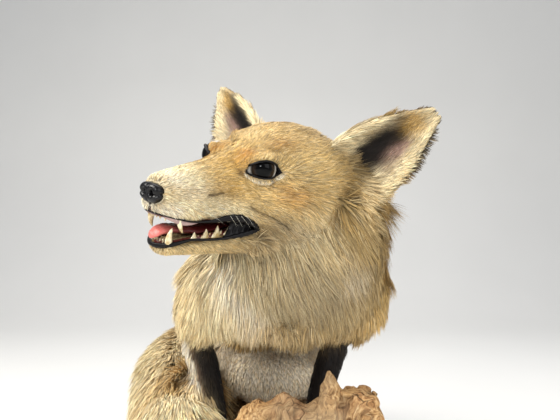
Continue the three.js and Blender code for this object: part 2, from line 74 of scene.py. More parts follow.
EYE_AT = np.array([0.7, 22.6, -1.7])  # left eyeball's centre, head frame
EYE_R = 11.5
LID_AT = np.array([2.8, 26.9, -1.5])  # middle of the eye's opening, head frame
LID_HALF = 14.2  # from the middle of the opening to its corners
LID_TOP = 6.1
LID_FOOT = 6.3
LID_DROP = 1.9  # the corners lie lower than the middle
RIGHT_EYE_SHIFT = np.array([-0.5, 1.5, 2.2])  # the right eye was set higher and further in
RIGHT_EYE_TURN = 0.2  # and turned a little forward, in radians
NOSE_AT = np.array([75.3, 0.0, -27.4])

EARS = {
    "left": {"root": [-68, 55, 1], "tip": [-87, 110, 64], "faces": [0.91, 0.4, -0.05]},
    "right": {"root": [-65, -54, 4], "tip": [-84, -113, 60], "faces": [0.96, -0.2, 0]},
}

HEAD_NODES = ["head", "lower_jaw"]
EAR_NODES = ["ear_left", "ear_right"]
TAIL_NODES = ["tail_base", "tail_middle", "tail_tip"]
UPPER_ARMS = ["upper_foreleg_right", "upper_foreleg_left"]
FOREARMS = ["forearm_right", "forearm_left"]
FOREPAWS = ["forepaw_right", "forepaw_left"]
THIGHS = ["thigh_right", "thigh_left"]
HIND_FEET = ["hind_foot_right", "hind_foot_left"]
LEG_NODES = UPPER_ARMS + FOREARMS + FOREPAWS + THIGHS + HIND_FEET
FLESH = HEAD_NODES + EAR_NODES + ["neck", "trunk"] + LEG_NODES + TAIL_NODES
SIDES = ("left", "right")

# Middle line of each lip on the left side, from the front to the mouth's corner, head frame,
# with the lip's half thickness and half height.
UPPER_LIP = [
    [75.2, 0, -39.4, 0.6, 0.6], [72.5, 7.5, -40.0, 0.6, 0.6], [64, 14, -41.2, 0.5, 0.5],
    [57, 16.2, -42.2, 0.5, 0.5], [50, 17.4, -42.6, 0.5, 0.6], [42, 19.2, -41.9, 0.7, 0.9],
    [34, 21.2, -40.4, 1.1, 1.7], [26, 23.8, -38.4, 1.4, 2.4], [18, 26.4, -38.0, 1.5, 2.7],
    [10, 28.2, -39.6, 1.4, 2.6], [4, 29.2, -42.2, 1.3, 2.2], [0, 29.4, -44.4, 1.1, 1.5],
    [-3, 29.2, -46.0, 0.8, 0.8],
]
LOWER_LIP = [
    [68.6, 0, -61.2, 1.1, 1.6], [66.6, 6.2, -60.6, 1.2, 1.8], [61, 11.4, -58.6, 1.2, 1.6],
    [51, 14.4, -55.6, 1.1, 1.0], [40, 17.2, -55.0, 1.1, 1.0], [29, 20.6, -54.0, 1.1, 1.0],
    [19, 24.2, -51.8, 1.3, 1.5], [10, 27.2, -49.4, 1.4, 2.0], [3, 28.9, -47.2, 1.3, 1.8],
    [-3, 29.2, -46.0, 0.8, 0.8],
]

# The brush runs from the rump round the right side to the forepaws: middle of its core, mm.
BRUSH = np.array([
    [10, 140, 160], [-30, 168, 154], [-70, 174, 148], [-113, 120, 146], [-118, 58, 146],
    [-111, 0, 145], [-97, -58, 142], [-82, -112, 138], [-66, -150, 140], [-46, -172, 144],
])

# ---------------------------------------------------------------- frames and curves


def axes_of(turn, pitch, roll):
    """Axes of a frame turned about its x, then its y, then its z."""
    about = [Matrix.Rotation(a, 3, axis) for a, axis in ((turn, "Z"), (pitch, "Y"), (roll, "X"))]
    return np.array(about[0] @ about[1] @ about[2])


HEAD_AXES = axes_of(HEAD_TURN, HEAD_PITCH, HEAD_ROLL)
JAW_AXES = axes_of(0, GAPE, 0)


def to_head(points):
    """Row-frame metres to head-frame millimetres."""
    return (points / MM - HEAD_AT) @ HEAD_AXES


def from_head(points):
    """Head-frame millimetres to row-frame metres."""
    return (np.asarray(points, float) @ HEAD_AXES.T + HEAD_AT) * MM


def turned_to_head(vectors):
    return vectors @ HEAD_AXES


def turned_from_head(vectors):
    return np.asarray(vectors, float) @ HEAD_AXES.T


def from_jaw(points):
    """The lower jaw's own frame to the head's."""
    return np.asarray(points, float) @ JAW_AXES.T + JAW_AT


def unit(vectors):
    vectors = np.asarray(vectors, float)
    return vectors / np.maximum(np.linalg.norm(vectors, axis=-1, keepdims=True), 1e-9)


def smooth(value, low, high):
    t = np.clip((value - low) / (high - low), 0, 1)
    return t * t * (3 - 2 * t)


def blot(points, at, reach):
    """1 at a place, falling softly to 0. reach is one radius or three."""
    return np.exp(-(((points - np.asarray(at)) / np.asarray(reach)) ** 2).sum(axis=-1))


def curve_through(points, count):
    """A smooth curve through a few points, as count points."""
    points = np.asarray(points, float)
    t = np.linspace(0, len(points) - 1, count)
    i = np.minimum(t.astype(int), len(points) - 2)
    s = (t - i)[:, None]
    a, b = points[i], points[i + 1]
    before, after = points[np.maximum(i - 1, 0)], points[np.minimum(i + 2, len(points) - 1)]
    return a + 0.5 * s * (
        b - before + s * (2 * before - 5 * a + 4 * b - after + s * (3 * (a - b) + after - before))
    )


def lip_at(rows, x):
    """How far out and how high a lip's middle line runs at each x."""
    rows = np.array(rows, float)[::-1]
    return np.interp(x, rows[:, 0], rows[:, 1]), np.interp(x, rows[:, 0], rows[:, 2])


def off_crease(head, line):
    """Distance from each point to a line on the cheek, seen from the side."""
    fine = curve_through(line, 40)[:, [0, 2]]
    gap = np.sqrt(((head[:, None, [0, 2]] - fine[None]) ** 2).sum(axis=2).min(axis=1))
    return np.where(np.abs(head[:, 1]) > 9, gap, 99.0)


def ripple(points, size, seed, count=5):
    """Soft random swell between about -1 and 1, with waves about size across."""
    draw = np.random.default_rng(seed)
    total = 0
    for _ in range(count):
        way = unit(draw.normal(size=3)) * 2 * math.pi / size * draw.uniform(0.6, 1.5)
        total = total + np.sin(points @ way + draw.uniform(0, 7))
    return total / math.sqrt(count)


LID_OUT = unit(np.array([0.48, 0.88, 0.0]))
LID_ALONG = unit(np.array([-25.6, 14.1, 2.8]))  # from the inner corner to the outer
LID_UP = np.cross(LID_OUT, LID_ALONG)
EYE_TURN = np.array(Matrix.Rotation(RIGHT_EYE_TURN, 3, "Z"))


def right_as_left(head):
    """Places about the right eye, as if they were about the left one."""
    return ((head - RIGHT_EYE_SHIFT) * (1, -1, 1) - EYE_AT) @ EYE_TURN.T + EYE_AT


def left_as_right(places):
    """Places about the left eye, moved to where they are about the right one."""
    return ((places - EYE_AT) @ EYE_TURN + EYE_AT) * (1, -1, 1) + RIGHT_EYE_SHIFT


def mirrored_eyes(head):
    """Places on either side of the head, as if all were about the left eye."""
    return np.where(head[:, 1:2] > 0, head, right_as_left(head))


# ---------------------------------------------------------------- meshes


def deselect():
    if bpy.context.object and bpy.context.object.mode != "OBJECT":
        bpy.ops.object.mode_set(mode="OBJECT")
    bpy.ops.object.select_all(action="DESELECT")


def only(obj):
    deselect()
    obj.select_set(True)
    bpy.context.view_layer.objects.active = obj


def apply_modifier(obj, kind, **settings):
    only(obj)
    modifier = obj.modifiers.new(kind.lower(), kind)
    for name, value in settings.items():
        setattr(modifier, name, value)
    bpy.ops.object.modifier_apply(modifier=modifier.name)


def placed(name, data):
    """A new object in the scene."""
    obj = bpy.data.objects.new(name, data)
    bpy.context.collection.objects.link(obj)
    return obj


def mesh_from(name, points, faces):
    """A mesh object from points and a list of face arrays, each with one corner count."""
    mesh = bpy.data.meshes.new(name)
    faces = [np.asarray(group, np.int32) for group in faces]
    corners = np.concatenate([group.ravel() for group in faces])
    sizes = np.concatenate([np.full(len(group), group.shape[1]) for group in faces])
    starts = np.cumsum(sizes) - sizes
    mesh.vertices.add(len(points))
    mesh.vertices.foreach_set("co", np.asarray(points, np.float32).ravel())
    mesh.loops.add(len(corners))
    mesh.loops.foreach_set("vertex_index", corners)
    mesh.polygons.add(len(sizes))
    mesh.polygons.foreach_set("loop_start", starts.astype(np.int32))
    mesh.update(calc_edges=True)
    return placed(name, mesh)


def read(items, name, width, kind=np.int32):
    """One property of a mesh's items, as rows of width values."""
    out = np.empty(len(items) * width, kind)
    items.foreach_get(name, out)
    return out.reshape(-1, width)


def points_of(mesh):
    return read(mesh.vertices, "co", 3, np.float32).astype(float)


def put_points(mesh, points):
    mesh.vertices.foreach_set("co", np.asarray(points, np.float32).ravel())
    mesh.update()


def edges_of(mesh):
    return read(mesh.edges, "vertices", 2)


def triangles_of(mesh):
    mesh.calc_loop_triangles()
    return read(mesh.loop_triangles, "vertices", 3)


def mark(mesh, name, values):
    """A number at each vertex, for the material to read."""
    layer = mesh.attributes.new(name, "FLOAT", "POINT")
    layer.data.foreach_set("value", values.astype(np.float32))


def paint(mesh, name, colours):
    """A colour at each vertex, for the material to read."""
    layer = mesh.color_attributes.new(name, "FLOAT_COLOR", "POINT")
    opaque = np.hstack([colours, np.ones((len(colours), 1))])
    layer.data.foreach_set("color", opaque.astype(np.float32).ravel())


def welded_copy(node, name):
    """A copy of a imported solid, with each corner shared by its faces."""
    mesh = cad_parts[node].data.copy()
    shell = bmesh.new()
    shell.from_mesh(mesh)
    bmesh.ops.remove_doubles(shell, verts=shell.verts, dist=0.02 * MM)
    shell.to_mesh(mesh)
    shell.free()
    mesh.materials.clear()
    return placed(name, mesh)


def joined(name, pieces, face_out=True):
    """Several meshes as one object, with its faces turned outward."""
    deselect()
    for piece in pieces:
        piece.select_set(True)
    bpy.context.view_layer.objects.active = pieces[0]
    if len(pieces) > 1:
        bpy.ops.object.join()
    whole = bpy.context.object
    whole.name = whole.data.name = name
    if face_out:
        bpy.ops.object.mode_set(mode="EDIT")
        bpy.ops.mesh.select_all(action="SELECT")
        bpy.ops.mesh.normals_make_consistent(inside=False)
        bpy.ops.object.mode_set(mode="OBJECT")
    return whole


def spread(values, edges, strength, rounds, pulls=(0.5,)):
    """Values at vertices drawn towards their neighbours' mean. Two pulls keep the volume."""
    a, b = edges.T
    n = len(values)
    count = np.maximum(np.bincount(edges.ravel(), minlength=n), 1)
    values = values.copy()
    for _ in range(rounds):
        for pull in pulls:
            for k in range(values.shape[1]):
                column = values[:, k]
                mean = (np.bincount(a, column[b], n) + np.bincount(b, column[a], n)) / count
                values[:, k] = column + pull * strength * (mean - column)
    return values


KEEP_VOLUME = (0.5, -0.52)  # a pull in, then a push out


def normals_at(points, triangles):
    a, b, c = (points[triangles[:, k]] for k in range(3))
    face = np.cross(b - a, c - a)
    total = np.zeros_like(points)
    for corner in range(3):
        for k in range(3):
            total[:, k] += np.bincount(triangles[:, corner], face[:, k], len(points))
    return unit(total)


# ---------------------------------------------------------------- skin: one surface under the coat

SKIN_VOXEL = 1.7 * MM
# How far the solids are pushed out before they are joined, so that no seam is left: least at
# the face, where the mouth would close.
SEAM_CLOSE = {"head": 0.6, "lower_jaw": 0.6, "ear": 0.5, "eye": 0.0, "forepaw": 0.6, "": 2.6}


def arch_prism(name, rear, front, rear_half, front_half, low, high, place):
    """The plate that fills one jaw's mouth between its lips."""
    middle = (front - front_half, 0, (low + high) / 2)
    bpy.ops.mesh.primitive_cylinder_add(
        vertices=32, radius=front_half, depth=high - low, location=middle
    )
    obj = bpy.context.object
    obj.name = name
    bpy.ops.object.transform_apply(location=True)
    points = points_of(obj.data)
    back = points[:, 0] < front - front_half - 0.2 * front_half
    points[back, 0] = rear
    out = points[back, 1]
    points[back, 1] = np.sign(out) * rear_half * np.minimum(1, np.abs(out) / 3)
    put_points(obj.data, from_head(place(points)))
    return obj


def seam_close(name):
    return next(value for start, value in SEAM_CLOSE.items() if name.startswith(start)) * MM


def joined_flesh():
    """Copies of the flesh solids, pushed out a little so that they run into one another."""
    copies = []
    for name in FLESH + ["eye_left", "eye_right"]:
        copies.append(welded_copy(name, "flesh_" + name))
        mesh = copies[-1].data
        points = points_of(mesh)
        put_points(mesh, points + normals_at(points, triangles_of(mesh)) * seam_close(name))
    copies.append(arch_prism("upper_fill", -1, 74, 21.9, 15.3, -42, -36, lambda p: p))
    copies.append(arch_prism("lower_fill", 2, 68, 20.6, 11.2, -6, -0.4, from_jaw))
    skin = joined("fox_skin", copies, face_out=False)
    apply_modifier(skin, "REMESH", mode="VOXEL", voxel_size=SKIN_VOXEL)
    return skin


def nearest_nodes(points):
    """The index in FLESH of the solid nearest to each point."""
    corners, triangles, owner = [], [], []
    start = 0
    for index, name in enumerate(FLESH):
        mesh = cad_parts[name].data
        own = triangles_of(mesh) + start
        corners.append(points_of(mesh))
        triangles.append(own)
        owner += [index] * len(own)
        start += len(mesh.vertices)
    tree = BVHTree.FromPolygons(
        np.concatenate(corners).tolist(), np.concatenate(triangles).tolist(), all_triangles=True
    )
    return np.array([owner[tree.find_nearest(p)[2]] for p in points.tolist()])


def is_one_of(owners, names):
    return np.isin(owners, [FLESH.index(name) for name in names])


def put(out, owners, names, values):
    """Sets the rows that lie on the named solids."""
    mine = is_one_of(owners, names)
    out[mine] = values[mine]


# How far the skin lies under the coat's tips, and the hairs' length, mm, by place on the head.
HEAD_DEPTH = ([-95, -50, -25, 0, 20, 50, 77], [12, 9, 6.5, 3.2, 2.2, 1.6, 1.0])
HEAD_LENGTH = ([-95, -50, -25, 0, 20, 50, 77], [34, 27, 20, 12, 10, 7.5, 4])
JAW_DEPTH = ([-20, 10, 30, 66], [7, 3.5, 2, 1.0])
JAW_LENGTH = ([-20, 10, 30, 66], [22, 11, 7, 3.5])
NODE_COAT = {  # depth, hair length
    "ear": (1.1, 8),
    "neck": (14, 38),
    "trunk": (13, 36),
    "upper_foreleg": (9, 26),
    "forearm": (2.6, 9),
    "forepaw": (1.4, 5),
    "thigh": (9, 26),
    "hind_foot": (2.2, 7),
    "tail": (15, 44),
}
CREASES = [  # folds in the cheek behind and over the mouth, left side, head frame
    [[15, 26, -27.5], [12.5, 27, -29], [1.3, 32.1, -32.2], [-11, 34.5, -35.5], [-26, 36.5, -39.5]],
    [[47.5, 17, -24.8], [41, 18.2, -24.2], [34, 19.2, -22.6]],
]
BELLY_COAT = (2.4, 5.5)  # depth, hair length
BELLY_AT = np.array([-1, 10, 148]) * MM
BELLY_REACH = np.array([66, 54, 42]) * MM


def belly_share(points):
    """1 on the short-haired belly between the forelegs, falling to 0 round it."""
    return smooth(5 - (np.abs((points - BELLY_AT) / BELLY_REACH) ** 4).sum(axis=1) * 4, 0, 3)


def on_belly(points, owners):
    """True on the skin of the belly between the forelegs."""
    within = np.abs((points - BELLY_AT) / BELLY_REACH).max(axis=1) < 1
    return within & is_one_of(owners, ["trunk", *THIGHS])


def coat_depths(points, owners):
    """Depth under the coat's tips and hair length, in metres, for each point of the skin."""
    head = to_head(points)
    out = np.zeros((len(points), 2))
    for kind, values in NODE_COAT.items():
        mine = is_one_of(owners, [name for name in FLESH if name.startswith(kind)])
        out[mine] = values
    for names, depth, length in (
        (["head"], HEAD_DEPTH, HEAD_LENGTH),
        (["lower_jaw"], JAW_DEPTH, JAW_LENGTH),
    ):
        mine = is_one_of(owners, names)
        out[mine, 0] = np.interp(head[mine, 0], *depth)
        out[mine, 1] = np.interp(head[mine, 0], *length)
    crown = is_one_of(owners, ["head"]) * smooth(head[:, 2], -6, 14)
    out *= (1 - 0.35 * crown)[:, None]
    out[on_belly(points, owners)] = BELLY_COAT
    for ear in EARS.values():
        root = blot(head, ear["root"], 20) * is_one_of(owners, ["head"])
        out += root[:, None] * (5, 8)

    for side in SIDES:
        along, aside, _, _, _ = ear_parts(head, side)
        mine = is_one_of(owners, ["ear_" + side])
        front = smooth(-aside, 14, 22) * smooth(-along, -74, -40)
        base = smooth(-along, -26, -8)
        longer = 7 * front + 9 * base * smooth(aside, -6, 6) - 3 * smooth(along, 50, 70)
        out[mine, 1] += longer[mine]

    for line in CREASES:
        off = off_crease(head + (2.5, 0, 1), line)
        out[:, 1] *= 1 - 0.65 * np.exp(-((off / 4.5) ** 2)) * is_one_of(owners, ["head"])

    around = nearness_to_eye(head)
    out *= (1 - np.stack([0.5 * around, 0.74 * around], axis=1))
    return out * MM


def from_lids(head):
    """Places relative to the middle of the eye's opening on their own side, left eye's axes."""
    return mirrored_eyes(head) - LID_AT


def nearness_to_eye(head):
    """1 at an eye's rim, falling to 0 some way off."""
    local = from_lids(head)
    ring = np.hypot(local @ LID_ALONG / LID_HALF, (local @ LID_UP + 0.8) / 7.6)
    return (1 - smooth(ring, 1.05, 1.9)) * (np.abs(local @ LID_OUT) < 16)


def flow_along(points, path):
    """Direction of a path at the place on it that is nearest to each point."""
    fine = curve_through(path * MM, 80)
    way = unit(np.gradient(fine, axis=0))
    nearest = np.argmin(((points[:, None] - fine[None]) ** 2).sum(axis=2), axis=1)
    return way[nearest]


def lie_of_face(head):
    """The way the face's hairs point, head frame: back from the nose and round the eyes."""
    flip = np.sign(head[:, 1])
    away = unit(head - NOSE_AT - np.array([6, 0, 0]))
    cheek = smooth(-head[:, 0], 0, 40) * smooth(-head[:, 2], 0, 35)
    away = away + cheek[:, None] * np.stack([0 * flip, 0.15 * flip, 0 * flip - 0.75], axis=1)
    part = np.clip((from_lids(head) @ LID_UP + 0.8) / 3, -1, 1) * nearness_to_eye(head) * 1.6
    away = away + part[:, None] * LID_UP * np.stack([flip**0, flip, flip**0], axis=1)
    above_lip = head[:, 2] - lip_at(UPPER_LIP, head[:, 0])[1] - 2
    edge = smooth(head[:, 0], -8, 4) * smooth(-head[:, 0], -75, -70)
    away[:, 2] -= 1.1 * edge * np.exp(-((above_lip / 3.5) ** 2))
    return away


def lie_of_coat(points, owners):
    """The way the hairs point at each place, before it is laid along the skin."""
    head = to_head(points)
    out = np.zeros_like(points)
    out[:] = (0, 0.1, -1)
    put(out, owners, HEAD_NODES, turned_from_head(lie_of_face(head)))
    for name in SIDES:
        along, aside, _, faces, way = ear_parts(head, name)
        sideways = np.cross(way, faces) * (1 if name == "left" else -1)
        turn = 0.45 * smooth(-aside, 8, 20) * smooth(-along, -70, -30)
        turn = turn + 0.9 * smooth(aside, 12, 20)
        put(out, owners, ["ear_" + name], turned_from_head(way + turn[:, None] * sideways))

    x, y, z = points.T
    side = np.sign(x - 0.01)
    fan = np.clip((x + 0.015) / 0.045, -1, 1) * smooth(z, 0.225, 0.275)
    back = smooth(y, -0.15, -0.06)
    neck = np.stack([0.28 * side * back + 0.5 * fan, -0.1 + 0.5 * back, -1 + 0.2 * back], axis=1)
    put(out, owners, ["neck"], neck)
    back = smooth(y, -0.13, -0.02)
    down = -1 + back * (0.35 + 0.6 * smooth(z, 0.2, 0.3))
    trunk = np.stack([0.35 * fan * (1 - back), -0.1 + 1.0 * back, down], axis=1)
    put(out, owners, ["trunk"], trunk)
    out[is_one_of(owners, THIGHS)] = (0, -0.45, -0.8)
    out[on_belly(points, owners)] = (0.15, -0.2, -1)
    out[is_one_of(owners, ["upper_foreleg_right"])] = (-0.3, 0.1, -1)
    out[is_one_of(owners, FOREPAWS + HIND_FEET)] = (0, -1, -0.15)
    mine = is_one_of(owners, TAIL_NODES)
    along = flow_along(points[mine], BRUSH)
    out[mine] = along + (0, 0, -0.55) * smooth(-np.abs(along[:, 2:]), -0.9, -0.4) + (-0.12, 0, 0)
    return unit(out)


def shape_rates(points, owners):
    """How freely each part of the skin may be smoothed: least where it is thin or detailed."""
    head = to_head(points)
    rate = np.ones(len(points))
    rate[is_one_of(owners, HEAD_NODES)] = 0.8
    rate[is_one_of(owners, EAR_NODES)] = 0.3
    rate[is_one_of(owners, FOREPAWS + HIND_FEET)] = 0.35
    near_mouth = smooth(head[:, 0], -14, 0) * smooth(-head[:, 2], 28, 36)
    return rate * (1 - 0.8 * near_mouth * (np.abs(head[:, 1]) < 40))


# ---------------------------------------------------------------- eyelids

LID_GAP = 0.9  # thickness of the lid over the eyeball, mm
HOOD, BAG = 1.2, 0.6  # how far the fold over the eye and the bag under it stand out, mm
BROW_DROP = 4.5  # the right brow is flatter, mm


def lid_heights(u):
    """Levels of the upper and the lower lid at u, which runs from -1 to 1 over the opening."""
    u = np.clip(u, -1, 1)
    bow = np.clip(1 - u * u, 0, 1)
    drop = LID_DROP * u * u
    return LID_TOP * bow**0.7 - drop, -LID_FOOT * bow**0.75 - drop * (1 - 0.4 * bow)


def ball_height(along, up, radius):
    """Height of a ball about the eye over the plane of the lids."""
    centre = EYE_AT - LID_AT
    across = (along - centre @ LID_ALONG) ** 2 + (up - centre @ LID_UP) ** 2
    return centre @ LID_OUT + np.sqrt(np.maximum(radius * radius - across, 0))


def rim_curve(count, radius):
    """Points round the eye's opening, left eye, head frame."""
    angle = np.linspace(0, 2 * math.pi, count, endpoint=False)
    u = np.cos(angle)
    top, foot = lid_heights(u)
    up = np.where(np.sin(angle) >= 0, top, foot)
    height = np.maximum(ball_height(u * LID_HALF, up, radius), -0.5)
    level = LID_AT + np.outer(u * LID_HALF, LID_ALONG) + np.outer(up, LID_UP)
    return level + np.outer(height, LID_OUT)


def shape_lids(points):
    """Lids that hug each eyeball, with an almond opening. Row-frame points in and out."""
    head = to_head(points)
    for side in (1, -1):
        left = head if side > 0 else right_as_left(head)
        local = left - LID_AT
        along, up, height = local @ LID_ALONG, local @ LID_UP, local @ LID_OUT
        top, foot = lid_heights(along / LID_HALF)
        inside = np.minimum(np.minimum(top - up, up - foot), (LID_HALF - np.abs(along)) * 0.6)
        near = (np.hypot(along, up) < 34) & (height > -14) & (head[:, 1] * side > 4)
        lid = np.maximum(ball_height(along, up, EYE_R + LID_GAP), -0.4)
        middle = np.exp(-((along / 9) ** 4))
        hood = HOOD * np.exp(-(((up - top - 3.5) / 2.6) ** 2)) * middle
        bag = BAG * np.exp(-(((up - foot + 3) / 2.0) ** 2)) * middle
        hug = 1 - smooth(np.hypot(along / LID_HALF, (up + 1) / (LID_TOP + 1.5)), 1.1, 1.75)
        outer = height + (lid + hood + bag - height) * hug
        if side < 0:
            outer = outer - BROW_DROP * np.exp(-(((up - 11) / 6) ** 2) - (along / 14) ** 2)
        behind = np.minimum(ball_height(along, up, EYE_R - 1.6), lid - 2.2)
        new = outer + (behind - outer) * smooth(inside, 0.2, 1.4)
        moved = left + np.outer(np.where(near, new - height, 0), LID_OUT)
        if side < 0:
            moved = left_as_right(moved)
        head = np.where((head[:, 1] * side > 0)[:, None], moved, head)
    return from_head(head)


def finer(obj, chosen):
    """Cuts each face with a chosen vertex into smaller ones."""
    only(obj)
    bpy.ops.object.mode_set(mode="EDIT")
    bpy.ops.mesh.select_mode(type="FACE")
    bpy.ops.mesh.select_all(action="DESELECT")
    bpy.ops.object.mode_set(mode="OBJECT")
    faces = obj.data.polygons
    faces.foreach_set("select", chosen[read(faces, "vertices", 3)].any(axis=1))
    bpy.ops.object.mode_set(mode="EDIT")
    bpy.ops.mesh.subdivide(number_cuts=1)
    bpy.ops.mesh.select_all(action="SELECT")
    bpy.ops.mesh.quads_convert_to_tris()
    bpy.ops.object.mode_set(mode="OBJECT")


def thin_out(obj, weights, ratio):
    """Fewer faces where the weight is high."""
    group = obj.vertex_groups.new(name="thin")
    for level in np.unique(weights):
        group.add(np.flatnonzero(weights == level).tolist(), float(level), "REPLACE")
    settings = {"vertex_group": "thin", "vertex_group_factor": 10}
    apply_modifier(obj, "DECIMATE", ratio=ratio, use_collapse_triangulate=True, **settings)
    obj.vertex_groups.clear()


KEPT_FACES = 0.42
FINE_ROUND_EYE = 24  # mm
INSET_STEPS = 6
EAR_SKIN = (1.1, 2.4)  # depth of the skin under the ear's coat, and what the root adds, mm
FOLD, LEVEE = 2.2, 0.8  # depth of a crease and height of the swelling beside it, mm


def soft_flesh():
    """The flesh as one smooth skin, with finer faces where the coat is short."""
    skin = joined_flesh()
    mesh = skin.data
    points, edges = points_of(mesh), edges_of(mesh)
    owners = nearest_nodes(points)
    rates = shape_rates(points, owners)
    points = spread(points, edges, rates, 16, KEEP_VOLUME)
    points = spread(points, edges, np.where(rates == 1, 1.0, 0.0), 45, KEEP_VOLUME)
    put_points(mesh, points)
    fine = is_one_of(owners, HEAD_NODES) & (to_head(points)[:, 0] > -34)
    fine |= is_one_of(owners, EAR_NODES + FOREPAWS)
    thin_out(skin, np.where(fine, 0.0, 1.0), KEPT_FACES)
    head = to_head(points_of(mesh))
    off_eyes = [np.linalg.norm(head - EYE_AT * (1, flip, 1), axis=1) for flip in (1, -1)]
    finer(skin, np.minimum(*off_eyes) < FINE_ROUND_EYE)
    return skin


def make_skin():
    """The skin, drawn in under the flesh by the coat's depth, with its lids and creases."""
    skin = soft_flesh()
    mesh = skin.data
    points, edges, triangles = points_of(mesh), edges_of(mesh), triangles_of(mesh)
    owners = nearest_nodes(points)
    everywhere = np.ones(len(points))
    depth = spread(coat_depths(points, owners), edges, everywhere, 16)
    for side in SIDES:  # the ears are thin, so their skin lies close under the coat
        mine = is_one_of(owners, ["ear_" + side])
        along = ear_parts(to_head(points), side)[0]
        most = (EAR_SKIN[0] + EAR_SKIN[1] * smooth(-along, -8, 6)) * MM
        depth[mine, 0] = np.minimum(depth[:, 0], most)[mine]
    pushed = np.array([seam_close(name) for name in FLESH])[owners]
    inset = depth[:, :1] + spread(pushed[:, None], edges, everywhere, 6)
    rates = shape_rates(points, owners)
    body = np.where(rates == 1, 1.0, 0.0)
    tail = np.where(is_one_of(owners, TAIL_NODES), 1.0, 0.0)
    for _ in range(INSET_STEPS):
        normals = unit(spread(normals_at(points, triangles), edges, rates, 3))
        points = points - normals * inset / INSET_STEPS
        points = spread(points, edges, body, 3)
        points = spread(points, edges, tail, 6)
        points = spread(points, edges, rates * 0.7, 1, KEEP_VOLUME)
    points = shape_lids(points)
    head = to_head(points)
    for line in CREASES:
        off = off_crease(head, line)
        fold = FOLD * np.exp(-((off / 1.6) ** 2)) - LEVEE * np.exp(-(((off - 4) / 2) ** 2))
        points = points - normals * (fold * is_one_of(owners, ["head"]) * MM)[:, None]
    put_points(mesh, points)
    comb = spread(lie_of_coat(points, owners), edges, everywhere, 24)
    return skin, SimpleNamespace(
        points=points, triangles=triangles, edges=edges, owners=owners, depth=depth, comb=comb
    )


# ---------------------------------------------------------------- colours


def linear(code):
    """A linear colour from sRGB hex."""
    values = np.array([int(code[i : i + 2], 16) for i in (0, 2, 4)]) / 255
    return np.where(values <= 0.04045, values / 12.92, ((values + 0.055) / 1.055) ** 2.4)


CREAM = linear("EFDFB6")
WHITE_FUR = linear("F0E9D8")
SAND = linear("D8B97C")
GOLD = linear("C89C4C")
ORANGE = linear("C78A38")
OLIVE = linear("B3945A")
GREY_FUR = linear("A5977F")
BELLY_GREY = linear("E3D6BE")
BROWN = linear("6B4A32")
BLACK_FUR = linear("1D1613")
LIP_BLACK = linear("100D0D")
MOUTH_RED = linear("4E1614")
EAR_PINK = linear("A07F76")


def mixed(base, *layers):
    """A colour with others laid over it in turn, each by its share."""
    for colour, share in layers:
        base = base + (colour - base) * np.clip(share, 0, 1)[..., None]
    return base


def head_markings(head):
    """Colours of the face: head-frame points to linear colours."""
    x, y, z = head[:, 0], np.abs(head[:, 1]), head[:, 2]
    even = np.stack([x, y, z], axis=1)
    out = mixed(
        SAND,
        (GOLD, 0.5 * blot(even, [-45, 20, 34], [30, 40, 16])),
        (GREY_FUR, 0.35 * smooth(-x, 15, 60) * smooth(z, 5, 30)),
        (CREAM, 0.85 * smooth(-x, 10, 50) * smooth(-z, 12, 34)),
        (GOLD, 0.9 * blot(even, [22, 12, 0], [24, 14, 12])),
        (GOLD, 0.8 * blot(even, [32, 22, -18], [18, 12, 8])),
        (CREAM, smooth(x, 40, 62) * smooth(z, -26, -18) * 0.9),
        (GREY_FUR, 0.12 * blot(even, [44, 20, -24], [24, 9, 9])),
        (WHITE_FUR, 0.5 * blot(even, [60, 13, -28], [16, 10, 9])),
        (CREAM, 0.8 * smooth(x, 2, 26) * smooth(-z, 22, 32)),
        (ORANGE, 0.85 * blot(even, [15, 15, 4], [8, 7, 8])),
        (ORANGE, 0.7 * blot(even, [-6, 25, 17], [15, 8, 7])),
        (ORANGE, 0.65 * blot(even, [-12, 37, -17], [17, 10, 8])),
        (BROWN * 0.8, 0.95 * blot(even, [20, 17.8, -7.2], [3.8, 4, 2.0])),
        (GREY_FUR, 0.5 * smooth(-x, -24, 10) * smooth(-z, 24, 40)),
    )
    # painted shade: the fur along each cheek crease is darkened where shade falls into the fold
    for line, dark in zip(CREASES, (0.9, 0.75)):
        out = mixed(out, (BROWN * 0.4, dark * np.exp(-((off_crease(head, line) / 1.7) ** 2))))
    local = from_lids(head)
    ring = np.hypot(local @ LID_ALONG / LID_HALF, (local @ LID_UP + 0.5) / 7.2)
    under = smooth(-(local @ LID_UP), 0, 3) * (np.abs(local @ LID_OUT) < 14)
    out = mixed(
        out,
        (WHITE_FUR, 0.85 * under * np.exp(-(((ring - 1.1) / 0.08) ** 2))),
        (WHITE_FUR, 0.75 * smooth(x, 60, 70) * smooth(-z, 28, 36)),
        (WHITE_FUR, 0.6 * blot(even, [70, 6, -18], [8, 8, 5])),
    )
    return out


def ear_parts(head, side):
    """How far along each ear a point lies, how far across, and the way the ear faces."""
    ear = EARS[side]
    root = np.array(ear["root"], float)
    along = unit(np.array(ear["tip"], float) - root)
    faces = np.array(ear["faces"], float)
    faces = unit(faces - along * (faces @ along))
    aside = np.cross(along, faces) * (1 if side == "left" else -1)
    local = head - root
    return local @ along, local @ aside, local @ faces, faces, along


